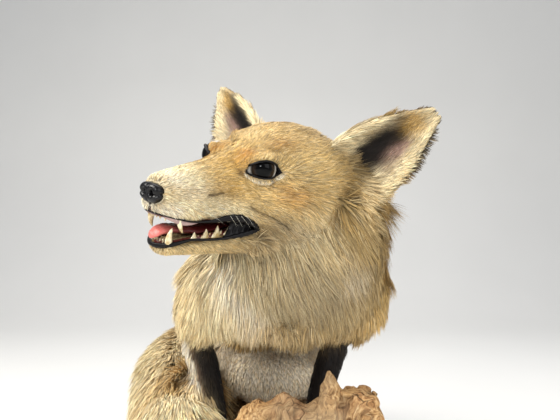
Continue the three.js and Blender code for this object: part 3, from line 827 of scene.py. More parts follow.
def ear_markings(head, normals, side):
    """Cream front and rim, black cup, golden tip, bare pink skin, brown to black back. The cup's
    black and brown are partly the ear's dark skin and partly painted shade in its hollow.
    """
    along, aside, _, faces, _ = ear_parts(head, side)
    place = np.stack([along, aside], axis=1)
    cup = smooth(normals @ faces, -0.1, 0.25)
    back = mixed(
        SAND,
        (BROWN, 0.85 * smooth(along, 16, 46) * smooth(aside, -22, -8)),
        (BLACK_FUR * 2.2, 0.9 * smooth(along, 30, 56) * smooth(aside, -14, 4)),
    )
    streak = 0.5 + 0.5 * np.sin(aside * 1.9 + 1.3 * ripple(head, 14, 61))
    # partly dark skin and partly painted shade: brown streaks deep inside the ear's hollow
    dark = np.clip(2.2 * blot(place, [46, -12], [19, 7]), 0, 1) * (0.3 + 0.7 * streak)
    inner = mixed(
        CREAM,
        (GREY_FUR, 0.7 * np.clip(1.6 * blot(place, [26, 10], [15, 9]), 0, 1) * streak),
        (BROWN * 0.45, dark),
        # partly dark skin and partly painted shade: the black cup deep in the ear's hollow
        (BLACK_FUR * 0.7, np.clip(3.4 * blot(place, [31, -4], [25, 9]), 0, 1)),
        (EAR_PINK, np.clip(1.8 * blot(place, [44, 7.5], [11, 4.5]), 0, 0.9)),
        (EAR_PINK * 0.7, np.clip(1.5 * blot(place, [31, 12], [8, 5]), 0, 0.7) * streak),
        (GOLD, 0.75 * np.clip(1.7 * blot(place, [66, -3], [9, 9]), 0, 1)),
        (CREAM, smooth(aside - 0.1 * (80 - along), 7, 9.5) * smooth(along, 38, 46)),
    )
    return mixed(back, (inner, cup))


def markings(points, normals, owners):
    """The coat's colours, on the skin and on every tuft."""
    head = to_head(points)
    face = head_markings(head)
    x, y, z = (points / MM).T
    out = np.tile(SAND, (len(points), 1))

    put(out, owners, HEAD_NODES, face)
    jaw = mixed(
        face,
        (SAND, 0.7),
        (GREY_FUR, 0.45 * smooth(-head[:, 0], -30, 10)),
    )
    put(out, owners, ["lower_jaw"], jaw)
    for side in SIDES:
        mine = is_one_of(owners, ["ear_" + side])
        out[mine] = ear_markings(head[mine], turned_to_head(normals[mine]), side)

    throat = mixed(
        CREAM,
        (SAND, 0.6 * smooth(x, -40, 30)),
        (GOLD, 0.4 * smooth(x, -50, -10) * smooth(-z, -270, -225)),
        (OLIVE, 0.85 * smooth(x, 24, 70) * smooth(z, 225, 280)),
        (GOLD, 0.6 * smooth(y, -140, -90)),
        (CREAM, 0.7 * smooth(-x, 20, 50)),
        # painted shadow: grey on the ruff under the jaw and cheek, where the head shades it
        (GREY_FUR * 0.55, 0.7 * blot(points / MM, [28, -150, 276], [42, 70, 28])),
        # painted shade: brown on the underside of the chest, darker towards the bottom where it
        # faces down
        (BROWN, 0.25 * smooth(x, -40, -10) * smooth(-z, -240, -222) * smooth(-y, 60, 100)),
        (WHITE_FUR, 0.7 * blot(points / MM, [60, -140, 292], [10, 60, 9])),
    )
    down = np.clip(((x + 36) * 28 + (287 - z) * 44) / (28**2 + 44**2), 0, 1)
    band = np.hypot(x + 36 - 28 * down, z - 287 + 44 * down)
    throat = mixed(throat, (WHITE_FUR, 0.9 * np.exp(-((band / 7) ** 2)) * smooth(-y, 90, 120)))
    put(out, owners, ["neck"], throat)

    body = mixed(
        throat,
        (GOLD, smooth(y, -110, -30) * 0.55),
        (GREY_FUR, 0.2 * smooth(-z, -262, -226) * smooth(-y, 60, 110)),
        (BROWN, 0.35 * smooth(y, -90, 0) * smooth(z, 275, 325)),
        (SAND, 0.8 * smooth(-z, -230, -180) * smooth(y, -60, 0)),
        (BELLY_GREY, belly_share(points) * smooth(-y, -40, -10)),
    )
    put(out, owners, ["trunk"], body)

    arm = mixed(
        throat,
        (SAND, 0.25),
        (BLACK_FUR * 2, 0.8 * smooth(-z, -222, -204)),
    )
    put(out, owners, UPPER_ARMS, arm)

    middle = np.interp(z, [83, 125, 165, 214], [-45.5, -50, -60, -72])
    stripe = smooth(-(x - middle), 0, 2) * smooth(z, 92, 112)
    right = mixed(
        BLACK_FUR,
        (BROWN * 0.7, smooth(-(x - middle), -5, 0)),
        (WHITE_FUR, stripe),
    )
    put(out, owners, ["forearm_right"], right)
    out[is_one_of(owners, ["forearm_left", *FOREPAWS])] = BLACK_FUR

    haunch = mixed(
        GOLD,
        (SAND, smooth(-z, -180, -140)),
        (BELLY_GREY, smooth(-np.abs(x), -66, -58) * smooth(-y, -64, -40)),
    )
    put(out, owners, THIGHS, haunch)
    foot = mixed(SAND, (BLACK_FUR, smooth(-y, -55, -5)))
    put(out, owners, HIND_FEET, foot)

    brush = mixed(
        GOLD,
        (CREAM, 0.8 * smooth(-y, -90, 30)),
        (BROWN, 0.45 * smooth(z, 150, 190) * smooth(y, 10, 110)),
        # partly the brush's golden colour and partly painted shade where it tucks in against the
        # right foreleg
        (GOLD, 0.95 * blot(points / MM, [-80, -72, 150], [22, 60, 44])),
        (CREAM, 0.9 * smooth(-x, 104, 128)),
        (CREAM, smooth(-y, 104, 132)),
    )
    put(out, owners, TAIL_NODES, brush)

    shade = 1 + 0.08 * ripple(points, 0.03, 3) + 0.08 * ripple(points, 0.007, 4)
    return np.clip(out * np.clip(shade, 0.7, 1.25)[:, None], 0, 1)


def bare_places(points, normals, owners):
    """1 where no hair grows: in the mouth, in the eyes' openings and under the nose pad."""
    head = to_head(points)
    facing = turned_to_head(normals)
    bare = np.zeros(len(points), bool)
    out_from_middle = np.abs(head[:, 1])
    upper_out, upper_level = lip_at(UPPER_LIP, head[:, 0])
    _, lower_level = lip_at(LOWER_LIP, head[:, 0])
    in_reach = (head[:, 0] > -4) & (head[:, 0] < 76)
    upper = is_one_of(owners, ["head"]) & in_reach & (head[:, 2] < upper_level + 2.2)
    upper &= (out_from_middle < upper_out - 0.2) & (facing[:, 2] < 0.25)
    lower = is_one_of(owners, ["lower_jaw"]) & in_reach & (head[:, 2] > lower_level - 0.3)
    bare |= upper | lower
    philtrum = (out_from_middle < 0.9) & (head[:, 0] > 70) & (head[:, 2] < -30) & (head[:, 2] > -44)
    bare |= philtrum & is_one_of(owners, ["head"])
    local = from_lids(head)
    along, up = local @ LID_ALONG, local @ LID_UP
    top, foot = lid_heights(along / LID_HALF)
    inside = np.minimum(np.minimum(top - up, up - foot), LID_HALF + 0.6 - np.abs(along))
    bare |= (inside > -0.9) & (np.abs(local @ LID_OUT) < 12) & (out_from_middle > 8)
    bare |= np.linalg.norm((head - NOSE_AT) / (6.2, 8.6, 6.8), axis=1) < 1
    return bare, upper | lower


# ---------------------------------------------------------------- materials


def node(tree, kind, out, **settings):
    """Adds a node and gives one of its outputs.

    A setting is a value or another node's output, and _0 is the first socket.
    """
    made = tree.nodes.new("ShaderNode" + kind)
    for key, value in settings.items():
        key = int(key[1:]) if key[1:].isdigit() else key.replace("__", " ")
        if key == "stops":
            ramp = made.color_ramp.elements
            while len(ramp) < len(value):
                ramp.new(0.5)
            for element, (place, colour) in zip(ramp, value):
                element.position = place
                element.color = rgba(colour)
        elif not isinstance(key, int) and key not in made.inputs:
            setattr(made, key, value)
        elif isinstance(value, bpy.types.NodeSocket):
            tree.links.new(made.inputs[key], value)
        else:
            made.inputs[key].default_value = value
    return made.outputs[out]


def rgba(colour):
    return (*[float(v) for v in colour], 1.0)


def new_material(name, roughness, specular=0.5, **shader):
    """A material, its node tree and its object coordinates."""
    material = bpy.data.materials.new(name)
    material.use_nodes = True
    tree = material.node_tree
    sockets = tree.nodes["Principled BSDF"].inputs
    sockets["Roughness"].default_value = roughness
    sockets["Specular IOR Level"].default_value = specular
    for key, value in shader.items():
        sockets[key.replace("_", " ")].default_value = value
    return material, tree, node(tree, "TexCoord", "Object")


def shaded(material, **outputs):
    """Links a colour and a bumped normal to the material's shader."""
    tree = material.node_tree
    for key, output in outputs.items():
        tree.links.new(tree.nodes["Principled BSDF"].inputs[key.replace("_", " ")], output)
    return material


def dress(obj, material, replaced=()):
    """Gives a piece its material, its body and the solids that it stands for."""
    obj.data.materials.clear()
    obj.data.materials.append(material)
    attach(obj, "root")
    if replaced:
        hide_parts(*replaced)


def fur_material(name, roughness, specular):
    """Guard hair of a tanned fox skin: dry keratin with a soft sheen, coloured by its markings."""
    material, tree, place = new_material(name, roughness, specular, Sheen_Weight=0.04)
    hair = node(tree, "Attribute", "Color", attribute_name="markings")
    grain = node(tree, "TexNoise", "Fac", Vector=place, Scale=900.0, Detail=2.0)  # 1 mm
    amount = node(tree, "MapRange", "Result", Value=grain, To__Min=0.82, To__Max=1.18)
    shade = node(tree, "VectorMath", "Vector", operation="SCALE", _0=hair, Scale=amount)
    return shaded(material, Base_Color=shade)


def mottled(tree, place, scale, detail, stops):
    """A colour that drifts over a surface. scale is in spots to the metre."""
    spots = node(tree, "TexNoise", "Fac", Vector=place, Scale=scale, Detail=detail)
    return node(tree, "ValToRGB", "Color", Fac=spots, stops=stops)


def pebbled(tree, place, cell, height):
    """Fine round bumps, sized in mm."""
    cells = node(tree, "TexVoronoi", "Distance", Vector=place, Scale=1 / (cell * MM))
    return node(tree, "Bump", "Normal", Height=cells, Strength=0.5, Distance=height * MM)


def around_colour(code, darker, lighter):
    """Stops of a darker and a lighter shade of one colour."""
    return [(0, linear(code) * darker), (1, np.minimum(linear(code) * lighter, 1))]


def wet_skin(name, code, roughness, cell, height, specular=0.5):
    """Bare skin: fine pebbled grain under a moist gloss."""
    material, tree, place = new_material(name, roughness, specular)
    return shaded(
        material,
        Base_Color=mottled(tree, place, 120.0, 3.0, around_colour(code, 0.7, 1.5)),
        Normal=pebbled(tree, place, cell, height),
    )


def eye_material():
    """Blown glass painted behind: black pupil, dark brown iris, and a grey-white ring at the edge
    that is partly paint and partly painted reflection.
    """
    material, tree, _ = new_material("painted_glass", 0.03, 0.13, IOR=1.5)
    angle = node(tree, "Attribute", "Fac", attribute_name="from_gaze")
    # the last two stops, grey-white at the glass's edge, are partly paint and partly painted
    # reflection
    codes = ["010101", "020202", "120D0A", "2C221A", "0C0A09", "6B665F", "B9B4AC"]
    stops = list(zip([0.0, 0.48, 0.54, 0.74, 0.8, 0.88, 1.0], map(linear, codes)))
    return shaded(material, Base_Color=node(tree, "ValToRGB", "Color", Fac=angle, stops=stops))


def tongue_material():
    """Painted wax over a carved tongue: salmon pink at the tip, dark red towards the throat."""
    material, tree, place = new_material("painted_wax_tongue", 0.34, 0.4)
    fresh = node(tree, "Attribute", "Fac", attribute_name="fresh")
    throat, tip = rgba(linear("5C1F1F")), rgba(linear("CE7068"))
    colour = node(tree, "Mix", 2, data_type="RGBA", _0=fresh, _6=throat, _7=tip)
    return shaded(material, Base_Color=colour, Normal=pebbled(tree, place, 0.8, 0.2))


def tooth_material():
    """Old ivory: glossy enamel with yellow stains."""
    material, tree, place = new_material("aged_enamel", 0.28, 0.5, Coat_Weight=0.3)
    stops = [(0.35, linear("B79B62")), (0.6, linear("E9DDB9"))]
    return shaded(material, Base_Color=mottled(tree, place, 260.0, 4.0, stops))


def plain_horn(name, code, roughness):
    """Horn of claws and whiskers: smooth keratin, darker and paler in fine spots."""
    material, tree, place = new_material(name, roughness)
    colour = mottled(tree, place, 400.0, 2.0, around_colour(code, 0.75, 1.3))
    return shaded(material, Base_Color=colour)


def wood_material():
    """Root wood dried in the open: tan and ochre grain, grey where it weathered, and dark cracks
    that are partly painted shade, darkest where the relief cuts deepest.
    """
    material, tree, place = new_material("weathered_root_wood", 0.78, 0.25)
    warp = node(tree, "TexNoise", "Color", Vector=place, Scale=26.0, Detail=3.0)
    shift = {"operation": "MULTIPLY_ADD", "_0": warp, "_1": (0.06, 0.06, 0.06), "_2": place}
    bent = node(tree, "VectorMath", "Vector", **shift)
    upright = node(tree, "Mapping", "Vector", Vector=bent, Scale=(1.0, 1.0, 0.12))
    fibres = {"Scale": 420.0, "Detail": 5.0, "Roughness": 0.6}  # 2.4 mm apart
    grain = node(tree, "TexNoise", "Fac", Vector=upright, **fibres)
    broad = node(tree, "TexNoise", "Fac", Vector=place, Scale=17.0, Detail=4.0)  # 60 mm
    patch = node(tree, "TexNoise", "Fac", Vector=bent, Scale=38.0, Detail=3.0)  # 26 mm
    stretched = node(tree, "Mapping", "Vector", Vector=bent, Scale=(1.0, 1.0, 0.38))
    net = {"Scale": 95.0, "feature": "DISTANCE_TO_EDGE"}  # 10 mm between cracks
    gap = node(tree, "TexVoronoi", "Distance", Vector=stretched, **net)

    def share(source, low, high, start, end):
        limits = {"From__Min": low, "From__Max": high, "To__Min": start, "To__Max": end}
        return node(tree, "MapRange", "Result", Value=source, **limits)

    def times(first, second, operation):
        return node(tree, "Math", "Value", operation=operation, _0=first, _1=second)

    lines = share(gap, 0.0, 0.045, 1.0, 0.0)
    cracks = times(lines, share(patch, 0.54, 0.62, 0.0, 1.0), "MULTIPLY")
    tans = [(0.3, "5E4329"), (0.42, "946E45"), (0.54, "BF9866"), (0.7, "DCBD8E")]
    stops = [(at, linear(code)) for at, code in tans]
    colour = node(tree, "ValToRGB", "Color", Fac=grain, stops=stops)
    for code, amount in (
        ("87775F", share(broad, 0.48, 0.62, 0.0, 0.55)),
        ("9A5F38", share(patch, 0.52, 0.7, 0.0, 0.4)),
        # painted shade: darker where the relief cuts deepest into cracks and pits
        ("3B2414", node(tree, "Attribute", "Fac", attribute_name="cracks")),
        ("1F120A", cracks),
    ):
        layer = {"_0": amount, "_6": colour, "_7": rgba(linear(code))}
        colour = node(tree, "Mix", 2, data_type="RGBA", **layer)
    height = times(grain, cracks, "SUBTRACT")
    bump = node(tree, "Bump", "Normal", Height=height, Strength=0.8, Distance=0.8 * MM)
    return shaded(material, Base_Color=colour, Normal=bump)


# ---------------------------------------------------------------- coat

# tufts, segments, width mm, lift over the skin, droop, clumping, swirl in radians, brightness of
# the roots against the tips, and how far the tuft takes up its neighbours' colour
COAT_PIECES = {
    "coat_muzzle": (44000, 2, 0.55, 0.95, 0.0, 0.45, 0.2, 0.42, 0.85),
    "coat_face": (62000, 2, 0.68, 0.95, 0.0, 0.5, 0.24, 0.42, 0.85),
    "coat_crown": (37000, 3, 0.8, 0.95, 0.03, 0.45, 0.24, 0.5, 0.85),
    "coat_ears": (22000, 3, 0.62, 0.9, 0.0, 0.4, 0.25, 0.6, 0.85),
    "coat_neck": (38500, 3, 0.85, 0.95, 0.05, 0.42, 0.2, 0.5, 0.85),
    "coat_chest": (38500, 3, 0.9, 0.95, 0.05, 0.42, 0.18, 0.55, 0.85),
    "coat_back": (29000, 3, 1.6, 0.95, 0.03, 0.5, 0.2, 0.5, 0.85),
    "coat_legs": (46000, 2, 0.9, 0.9, 0.0, 0.35, 0.2, 0.6, 0.25),
    "coat_tail": (28000, 3, 1.3, 0.85, 0.04, 0.2, 0.08, 0.74, 0.85),
    "coat_tail_end": (18000, 3, 1.3, 0.85, 0.04, 0.2, 0.1, 0.78, 0.85),
}
COAT_SEED = 100
HIDE_SHADE = 0.75  # the skin between the hairs is darker than they are
PATCH = 0.003  # width of a tuft's patch in the bake's map
LENGTHS = (0.72, 1.12)  # shortest and longest hair against the usual length at its place
HEIGHTS = (0.75, 1.1)
WIDTHS = (0.7, 1.2)
FACE_TONE, BODY_TONE = 0.29, 0.22  # how far hairs side by side differ in brightness
BANDED = 0.14  # share of the hairs with a dark tip
CLUMP_HAIRS = 9
ROUGHNESS = 0.1225  # how far the hairs' shading leaves the skin's
BOX_MARGIN = 0.4 * MM
FRINGE_LEVEL = 209  # height that the chest's hair reaches down to, mm
RIM_HAIR = 3.5 * MM  # extra length on the ears' outer edge


def coat_piece_of(points, owners):
    """The coat piece that each point of the skin belongs to, as an index."""
    names = list(COAT_PIECES)
    head = to_head(points)
    out = np.full(len(points), names.index("coat_back"))
    on_head = is_one_of(owners, HEAD_NODES)
    out[on_head] = names.index("coat_face")
    out[on_head & (head[:, 0] > 16)] = names.index("coat_muzzle")
    out[on_head & (head[:, 0] < -32)] = names.index("coat_crown")
    out[is_one_of(owners, EAR_NODES)] = names.index("coat_ears")
    out[is_one_of(owners, ["neck"])] = names.index("coat_neck")
    chest = is_one_of(owners, ["trunk"]) & (points[:, 1] < -0.06)
    chest |= is_one_of(owners, UPPER_ARMS)
    out[chest] = names.index("coat_chest")
    out[is_one_of(owners, FOREARMS + FOREPAWS + THIGHS + HIND_FEET)] = names.index("coat_legs")
    out[is_one_of(owners, TAIL_NODES)] = names.index("coat_tail")
    out[is_one_of(owners, ["tail_tip"])] = names.index("coat_tail_end")
    return out


def along_skin(way, normal):
    """The part of each direction that runs along the skin."""
    return unit(way - normal * (way * normal).sum(axis=1, keepdims=True))


def rooted(count, chosen, data, draw):
    """Roots all over the chosen triangles, closer together where the hair is short."""
    corners = data.triangles[chosen]
    a, b, c = (data.points[corners[:, k]] for k in range(3))
    area = np.linalg.norm(np.cross(b - a, c - a), axis=1)
    lengths = data.depth[corners].mean(axis=1)[:, 1]
    share = area * (0.02 / np.maximum(lengths, 0.004)) ** 0.5
    at = (np.arange(count) + draw.random(count)) / count
    which = np.minimum(np.searchsorted(np.cumsum(share) / share.sum(), at), len(chosen) - 1)
    corners = corners[which]
    weights = draw.dirichlet((1, 1, 1), count)[:, :, None]

    def at_root(values):
        return (values[corners] * weights).sum(axis=1)

    home = (data.uv[chosen][which] * weights).sum(axis=1)
    return at_root, home, data.owners[corners[:, 0]]


def past_ear_rims(root, normal, way, owner):
    """Dark hair on each ear's outer edge stands past it: its way, and 1 along the edge."""
    out = np.zeros(len(root))
    turned = way
    for side in SIDES:
        mine = owner == FLESH.index("ear_" + side)
        along, aside, _, faces, axis = ear_parts(to_head(root), side)
        behind = smooth(-(turned_to_head(normal) @ faces), -0.3, 0.2)
        rim = smooth(aside, 7, 14) * smooth(along, 26, 40) * smooth(-along, -86, -74) * behind
        outward = turned_from_head(np.cross(axis, faces) * (1 if side == "left" else -1))
        turned = turned + 1.6 * (rim * mine)[:, None] * outward
        out += rim * mine
    return along_skin(turned, normal), out


def clumped(tips, pull, draw):
    """Tips drawn towards the tip of one hair in every few, as hairs that stick in locks."""
    leaders = draw.choice(len(tips), max(len(tips) // CLUMP_HAIRS, 1), replace=False)
    tree = KDTree(len(leaders))
    for index, leader in enumerate(leaders.tolist()):
        tree.insert(tips[leader], index)
    tree.balance()
    nearest = leaders[[tree.find(tip)[1] for tip in tips.tolist()]]
    gap = tips[nearest] - tips
    return gap * pull * draw.uniform(0.5, 1.0, (len(tips), 1))


def tuft_colours(at_root, root, normal, owner, data, seam_share, draw):
    """The markings at each root, drawn together over the seams, with odd hairs among them."""
    near_seam = seam_share * (1 - smooth(to_head(root)[:, 0], -34, -20))
    colour = mixed(markings(root, normal, owner), (at_root(data.blended), near_seam))
    pick = draw.random(len(root))
    light = colour.mean(axis=1, keepdims=True) * 1.9
    return mixed(
        colour,
        (GOLD * light, 0.35 * (pick < 0.25)),
        (BROWN * light, 0.4 * ((pick > 0.25) & (pick < 0.36))),
        (CREAM * light, 0.45 * (pick > 0.8)),
    )


def make_coat_piece(name, chosen, data, draw):
    """One piece of the coat: tapered, bent blades rooted all over the chosen triangles."""
    count, segments, width, lift, droop, clump, swirl, root_shade, seam_share = COAT_PIECES[name]
    at_root, home, owner = rooted(count, chosen, data, draw)
    root, normal, hair = at_root(data.points), unit(at_root(data.normals)), at_root(data.depth)
    way = along_skin(at_root(data.comb), normal)
    turn = swirl * (0.7 * ripple(root, 0.035, 11) + 0.5 * ripple(root, 0.012, 12))
    turn = (turn + draw.normal(0, 0.1, count))[:, None]
    way = way * np.cos(turn) + np.cross(way, normal) * np.sin(turn)
    long = hair[:, 1] * draw.uniform(*LENGTHS, count)
    tall = hair[:, 0] * lift * draw.uniform(*HEIGHTS, count)
    if name == "coat_ears":
        way, rim = past_ear_rims(root, normal, way, owner)
        long = long + rim * RIM_HAIR

    def reach_at(t):
        forward = way * (np.sqrt(np.maximum(long**2 - tall**2, 0)) * t)[:, None]
        rise = normal * (tall * (2 * t - t * t))[:, None]
        return root + forward + rise - (0, 0, droop) * (long * t * t)[:, None]

    low, high = (np.array(corner) for corner in CAD_BOX)
    for _ in range(5):
        tip = reach_at(1.0)
        out = ((tip < low + BOX_MARGIN) | (tip > high - BOX_MARGIN)).any(axis=1)
        long = np.where(out, long * 0.75, long)
        tall = np.where(out, tall * 0.75, tall)
    if name == "coat_chest":  # the fringe ends above the forelegs
        drop = root[:, 2] - reach_at(1.0)[:, 2]
        uneven = 6 * ripple(root, 0.03, 71) + draw.normal(0, 3.5, count)
        room = root[:, 2] - (FRINGE_LEVEL + uneven) * MM
        cut = (root[:, 1] < -0.05) & (drop > room)
        share = np.where(cut, np.clip(room / np.maximum(drop, 1 * MM), 0.22, 1), 1)
        long, tall = long * share, tall * np.sqrt(share)
    gather = clumped(reach_at(1.0), clump, draw)

    roll = draw.normal(0, 0.45, count)[:, None]
    flat = np.cross(way, normal) * np.cos(roll) + normal * np.sin(roll)
    wide = width * MM * draw.uniform(*WIDTHS, count) / 2
    tone = draw.normal(0, FACE_TONE if name in ("coat_muzzle", "coat_face") else BODY_TONE, count)
    tone = np.clip(1 + tone * (1 - 0.6 * belly_share(root)), 0.5, 1.6)
    banded = draw.random(count) < BANDED
    rings, shades = [], []
    for step in range(segments + 1):
        t = step / segments
        centre = reach_at(t) + gather * t * t
        shade = (root_shade + (1.06 - root_shade) * t**0.6) * tone
        shade = np.where(banded & (t > 0.55), shade * 0.62, shade)
        half = flat * (wide * (1 - t) ** 0.55)[:, None]
        ring = [centre] if step == segments else [centre - half, centre + half]
        rings.append(np.stack(ring, axis=1))
        shades.append(np.repeat(shade[:, None], len(ring), axis=1))
    blade, shade = np.concatenate(rings, axis=1), np.concatenate(shades, axis=1)
    per = blade.shape[1]
    start = (np.arange(count) * per)[:, None]
    quads = [start + np.array([0, 1, 3, 2]) + 2 * k for k in range(segments - 1)]
    faces = [np.concatenate(quads), start + np.array([0, 1, 2]) + 2 * (segments - 1)]
    obj = mesh_from(name, np.clip(blade.reshape(-1, 3), low, high), faces)

    colour = tuft_colours(at_root, root, normal, owner, data, seam_share, draw)
    colour = np.clip(colour[:, None] * shade[:, :, None], 0, 1)
    paint(obj.data, "markings", colour.reshape(-1, 3))
    facing = np.repeat(normal, per, axis=0) + ROUGHNESS * draw.normal(size=(count * per, 3))
    obj.data.shade_smooth()
    obj.data.normals_split_custom_set_from_vertices(unit(facing).tolist())

    layer = obj.data.uv_layers.new(name="OFBake")
    index = np.concatenate([group.ravel() for group in faces])
    own = index % per
    level = np.minimum(own // 2, segments) / segments - 0.5
    sideways = np.where(own == per - 1, 0.5, own % 2) - 0.5
    patch = home[index // per] + PATCH * np.stack([sideways, level], axis=1)
    layer.data.foreach_set("uv", patch.astype(np.float32).ravel())
    return obj


def make_coat(data, bare):
    """All pieces of the coat, on every triangle of the skin that isn't bare."""
    home = coat_piece_of(data.points, data.owners)[data.triangles[:, 0]]
    open_skin = ~bare[data.triangles].any(axis=1)
    fur = fur_material("fox_fur", 0.6, 0.24)
    for index, name in enumerate(COAT_PIECES):
        chosen = np.flatnonzero((home == index) & open_skin)
        draw = np.random.default_rng(COAT_SEED + index)
        dress(make_coat_piece(name, chosen, data, draw), fur)


def unwrap(obj):
    """The skin's own unwrap, for the bake."""
    only(obj)
    obj.data.uv_layers.new(name="OFBake")
    bpy.ops.object.mode_set(mode="EDIT")
    bpy.ops.mesh.select_all(action="SELECT")
    bpy.ops.uv.smart_project(angle_limit=1.15, island_margin=0.002)
    bpy.ops.object.mode_set(mode="OBJECT")
    uv = read(obj.data.uv_layers["OFBake"].data, "uv", 2, np.float32)
    return uv.reshape(-1, 3, 2).astype(float)


def make_fur():
    """The skin, its markings and the coat over it."""
    skin, data = make_skin()
    data.uv = unwrap(skin)
    hard_normals = normals_at(data.points, data.triangles)
    everywhere = np.ones(len(data.points))
    data.normals = unit(spread(hard_normals, data.edges, everywhere, 6))
    bare, in_mouth = bare_places(data.points, hard_normals, data.owners)
    pull = np.where(is_one_of(data.owners, EAR_NODES), 0.35, 1.0)
    colours = markings(data.points, data.normals, data.owners)
    data.blended = spread(colours, data.edges, pull, 14)
    colours = data.blended * HIDE_SHADE
    colours[bare] = LIP_BLACK
    colours[in_mouth] = MOUTH_RED
    paint(skin.data, "markings", colours)
    skin.data.shade_smooth()
    dress(skin, fur_material("fox_hide", 0.75, 0.2), FLESH)
    make_coat(data, bare)


# ---------------------------------------------------------------- eyes, nose, mouth


def sweep(name, path, radii, sides=10, up=(0, 0, 1), closed=False):
    """A tube along a path. radii holds the half thickness and half height at each point."""
    path = np.asarray(path, float)
    radii = np.asarray(radii, float)
    if radii.ndim == 1:
        radii = np.stack([radii, radii], axis=1)
    if closed:
        along = unit(np.roll(path, -1, axis=0) - np.roll(path, 1, axis=0))
    else:
        along = unit(np.gradient(path, axis=0))
    rise = np.asarray(up, float) - along * (along @ np.asarray(up, float))[:, None]
    rise = unit(rise)
    across = np.cross(along, rise)
    angle = np.linspace(0, 2 * math.pi, sides, endpoint=False)
    ring = (
        across[:, None] * (radii[:, :1] * np.cos(angle))[:, :, None]
        + rise[:, None] * (radii[:, 1:] * np.sin(angle))[:, :, None]
    )
    points = (path[:, None] + ring).reshape(-1, 3)
    count = len(path)
    rows = np.arange(count if closed else count - 1)[:, None]
    column = np.arange(sides)[None]
    after, beside = (rows + 1) % count * sides, (column + 1) % sides
    quads = np.stack(
        [rows * sides + column, after + column, after + beside, rows * sides + beside], axis=2
    ).reshape(-1, 4)
    faces = [quads]
    if not closed:
        ends = np.array([path[0], path[-1]])
        first = len(points)
        points = np.concatenate([points, ends])
        around = np.arange(sides)
        beside = (around + 1) % sides
        last = (count - 1) * sides
        faces.append(np.stack([np.full(sides, first), around, beside], axis=1))
        faces.append(np.stack([np.full(sides, first + 1), last + beside, last + around], axis=1))
    obj = mesh_from(name, points * MM, faces)
    obj.data.shade_smooth()
    return obj


def head_piece(name, meshes, material, replaced=()):
    """One piece from meshes made in head-frame millimetres, which are stored as metres."""
    obj = joined(name, meshes)
    put_points(obj.data, from_head(points_of(obj.data) / MM))
    dress(obj, material, replaced)


GAZE = unit(np.array([0.62, 0.78, 0.02]))  # where the left eye looks, head frame
RIM_POINTS = 96
CORNEA = 0.7  # how far it stands over the ball, mm
NOSE_HALF = (6.0, 9.3, 6.6)  # half length, width and height of the nose pad, mm
LINING = 0.7  # thickness of the skin at the mouth's corner, mm


def make_eye(side, material):
    """A glass eye: a ball with a raised cornea over the iris."""
    bpy.ops.mesh.primitive_uv_sphere_add(segments=56, ring_count=36, radius=EYE_R * MM)
    eye = bpy.context.object
    eye.name = eye.data.name = "glass_eye_" + side
    points = points_of(eye.data) / MM
    angle = np.arccos(np.clip(unit(points) @ GAZE, -1, 1))
    raised = CORNEA * smooth(-angle, -0.62, -0.2)
    points = points * (1 + raised / EYE_R)[:, None] + EYE_AT
    put_points(eye.data, from_head(points if side == "left" else left_as_right(points)))
    mark(eye.data, "from_gaze", angle)
    eye.data.shade_smooth()
    dress(joined(eye.name, [eye]), material, ["eye_" + side])


def make_rims(material):
    """Black edges of the lids, thicker above than below."""
    pieces = []
    angle = np.linspace(0, 2 * math.pi, RIM_POINTS, endpoint=False)
    upper = 0.5 + 0.5 * np.sin(angle)
    curve = rim_curve(RIM_POINTS, EYE_R + LID_GAP)
    for flip in (1, -1):
        thick = np.stack([0.65 + 0.2 * upper, 0.7 + 0.4 * upper], axis=1)
        rim = sweep("rim", curve, thick, sides=8, up=LID_OUT, closed=True)
        if flip < 0:
            put_points(rim.data, left_as_right(points_of(rim.data) / MM) * MM)
        pieces.append(rim)
    head_piece("eyelid_rims", pieces, material)


def make_nose(material):
    """The nose pad: a blunt block with comma-shaped nostrils and a groove down the middle."""
    bpy.ops.mesh.primitive_uv_sphere_add(segments=96, ring_count=64, radius=1)
    nose = bpy.context.object
    ball = unit(points_of(nose.data))
    block = ball / (np.abs(ball) ** 3).sum(axis=1, keepdims=True) ** (1 / 3)
    points = block * NOSE_HALF + NOSE_AT
    below = smooth(NOSE_AT[2] - points[:, 2], -3, 7)
    points[:, 0] -= 1.4 * below
    points[:, 1] *= 1 - 0.16 * below
    points[:, 2] -= 1.0 * smooth(-points[:, 0], -78, -70) * (1 - below)
    even = points * (1, 0, 1) + np.abs(points) * (0, 1, 0)
    wing = 0.6 * blot(even, [77, 8.2, -29.6], [4, 3.2, 2.8])
    nostril = 4.2 * blot(even, [81.4, 3.4, -27.2], [3.0, 1.6, 1.9])
    nostril += 1.2 * blot(even, [79.4, 6.4, -28.0], [2.4, 2.4, 0.8])
    slit = 0.8 * blot(even, [76.0, 9.2, -26.8], [4.2, 2.8, 0.8])
    groove = 0.9 * np.exp(-((points[:, 1] / 0.8) ** 2)) * smooth(points[:, 0], 76, 80)
    points += ball * (wing - slit - groove)[:, None]
    points -= np.outer(nostril, [0.8, 0, 0]) + ball * (0.35 * nostril)[:, None]
    put_points(nose.data, points * MM)
    nose.data.shade_smooth()
    head_piece("nose_pad", [nose], material, ["nose"])


def make_lips(material):
    """Black lips round the open mouth, crinkled towards the corners."""
    pieces = []
    for rows in (UPPER_LIP, LOWER_LIP):
        rows = np.array(rows, float)
        mirrored = rows[:0:-1] * (1, -1, 1, 1, 1)
        fine = curve_through(np.concatenate([mirrored, rows]), 220)
        crinkle = 1 + 0.12 * np.sin(np.arange(220) * 0.9) * smooth(-fine[:, 0], -45, -15)
        size = fine[:, 3:] * crinkle[:, None]
        pieces.append(sweep("lip", fine[:, :3], size, sides=12))
    pieces += [cheek_lining(1), cheek_lining(-1)]
    head_piece("black_lips", pieces, material)


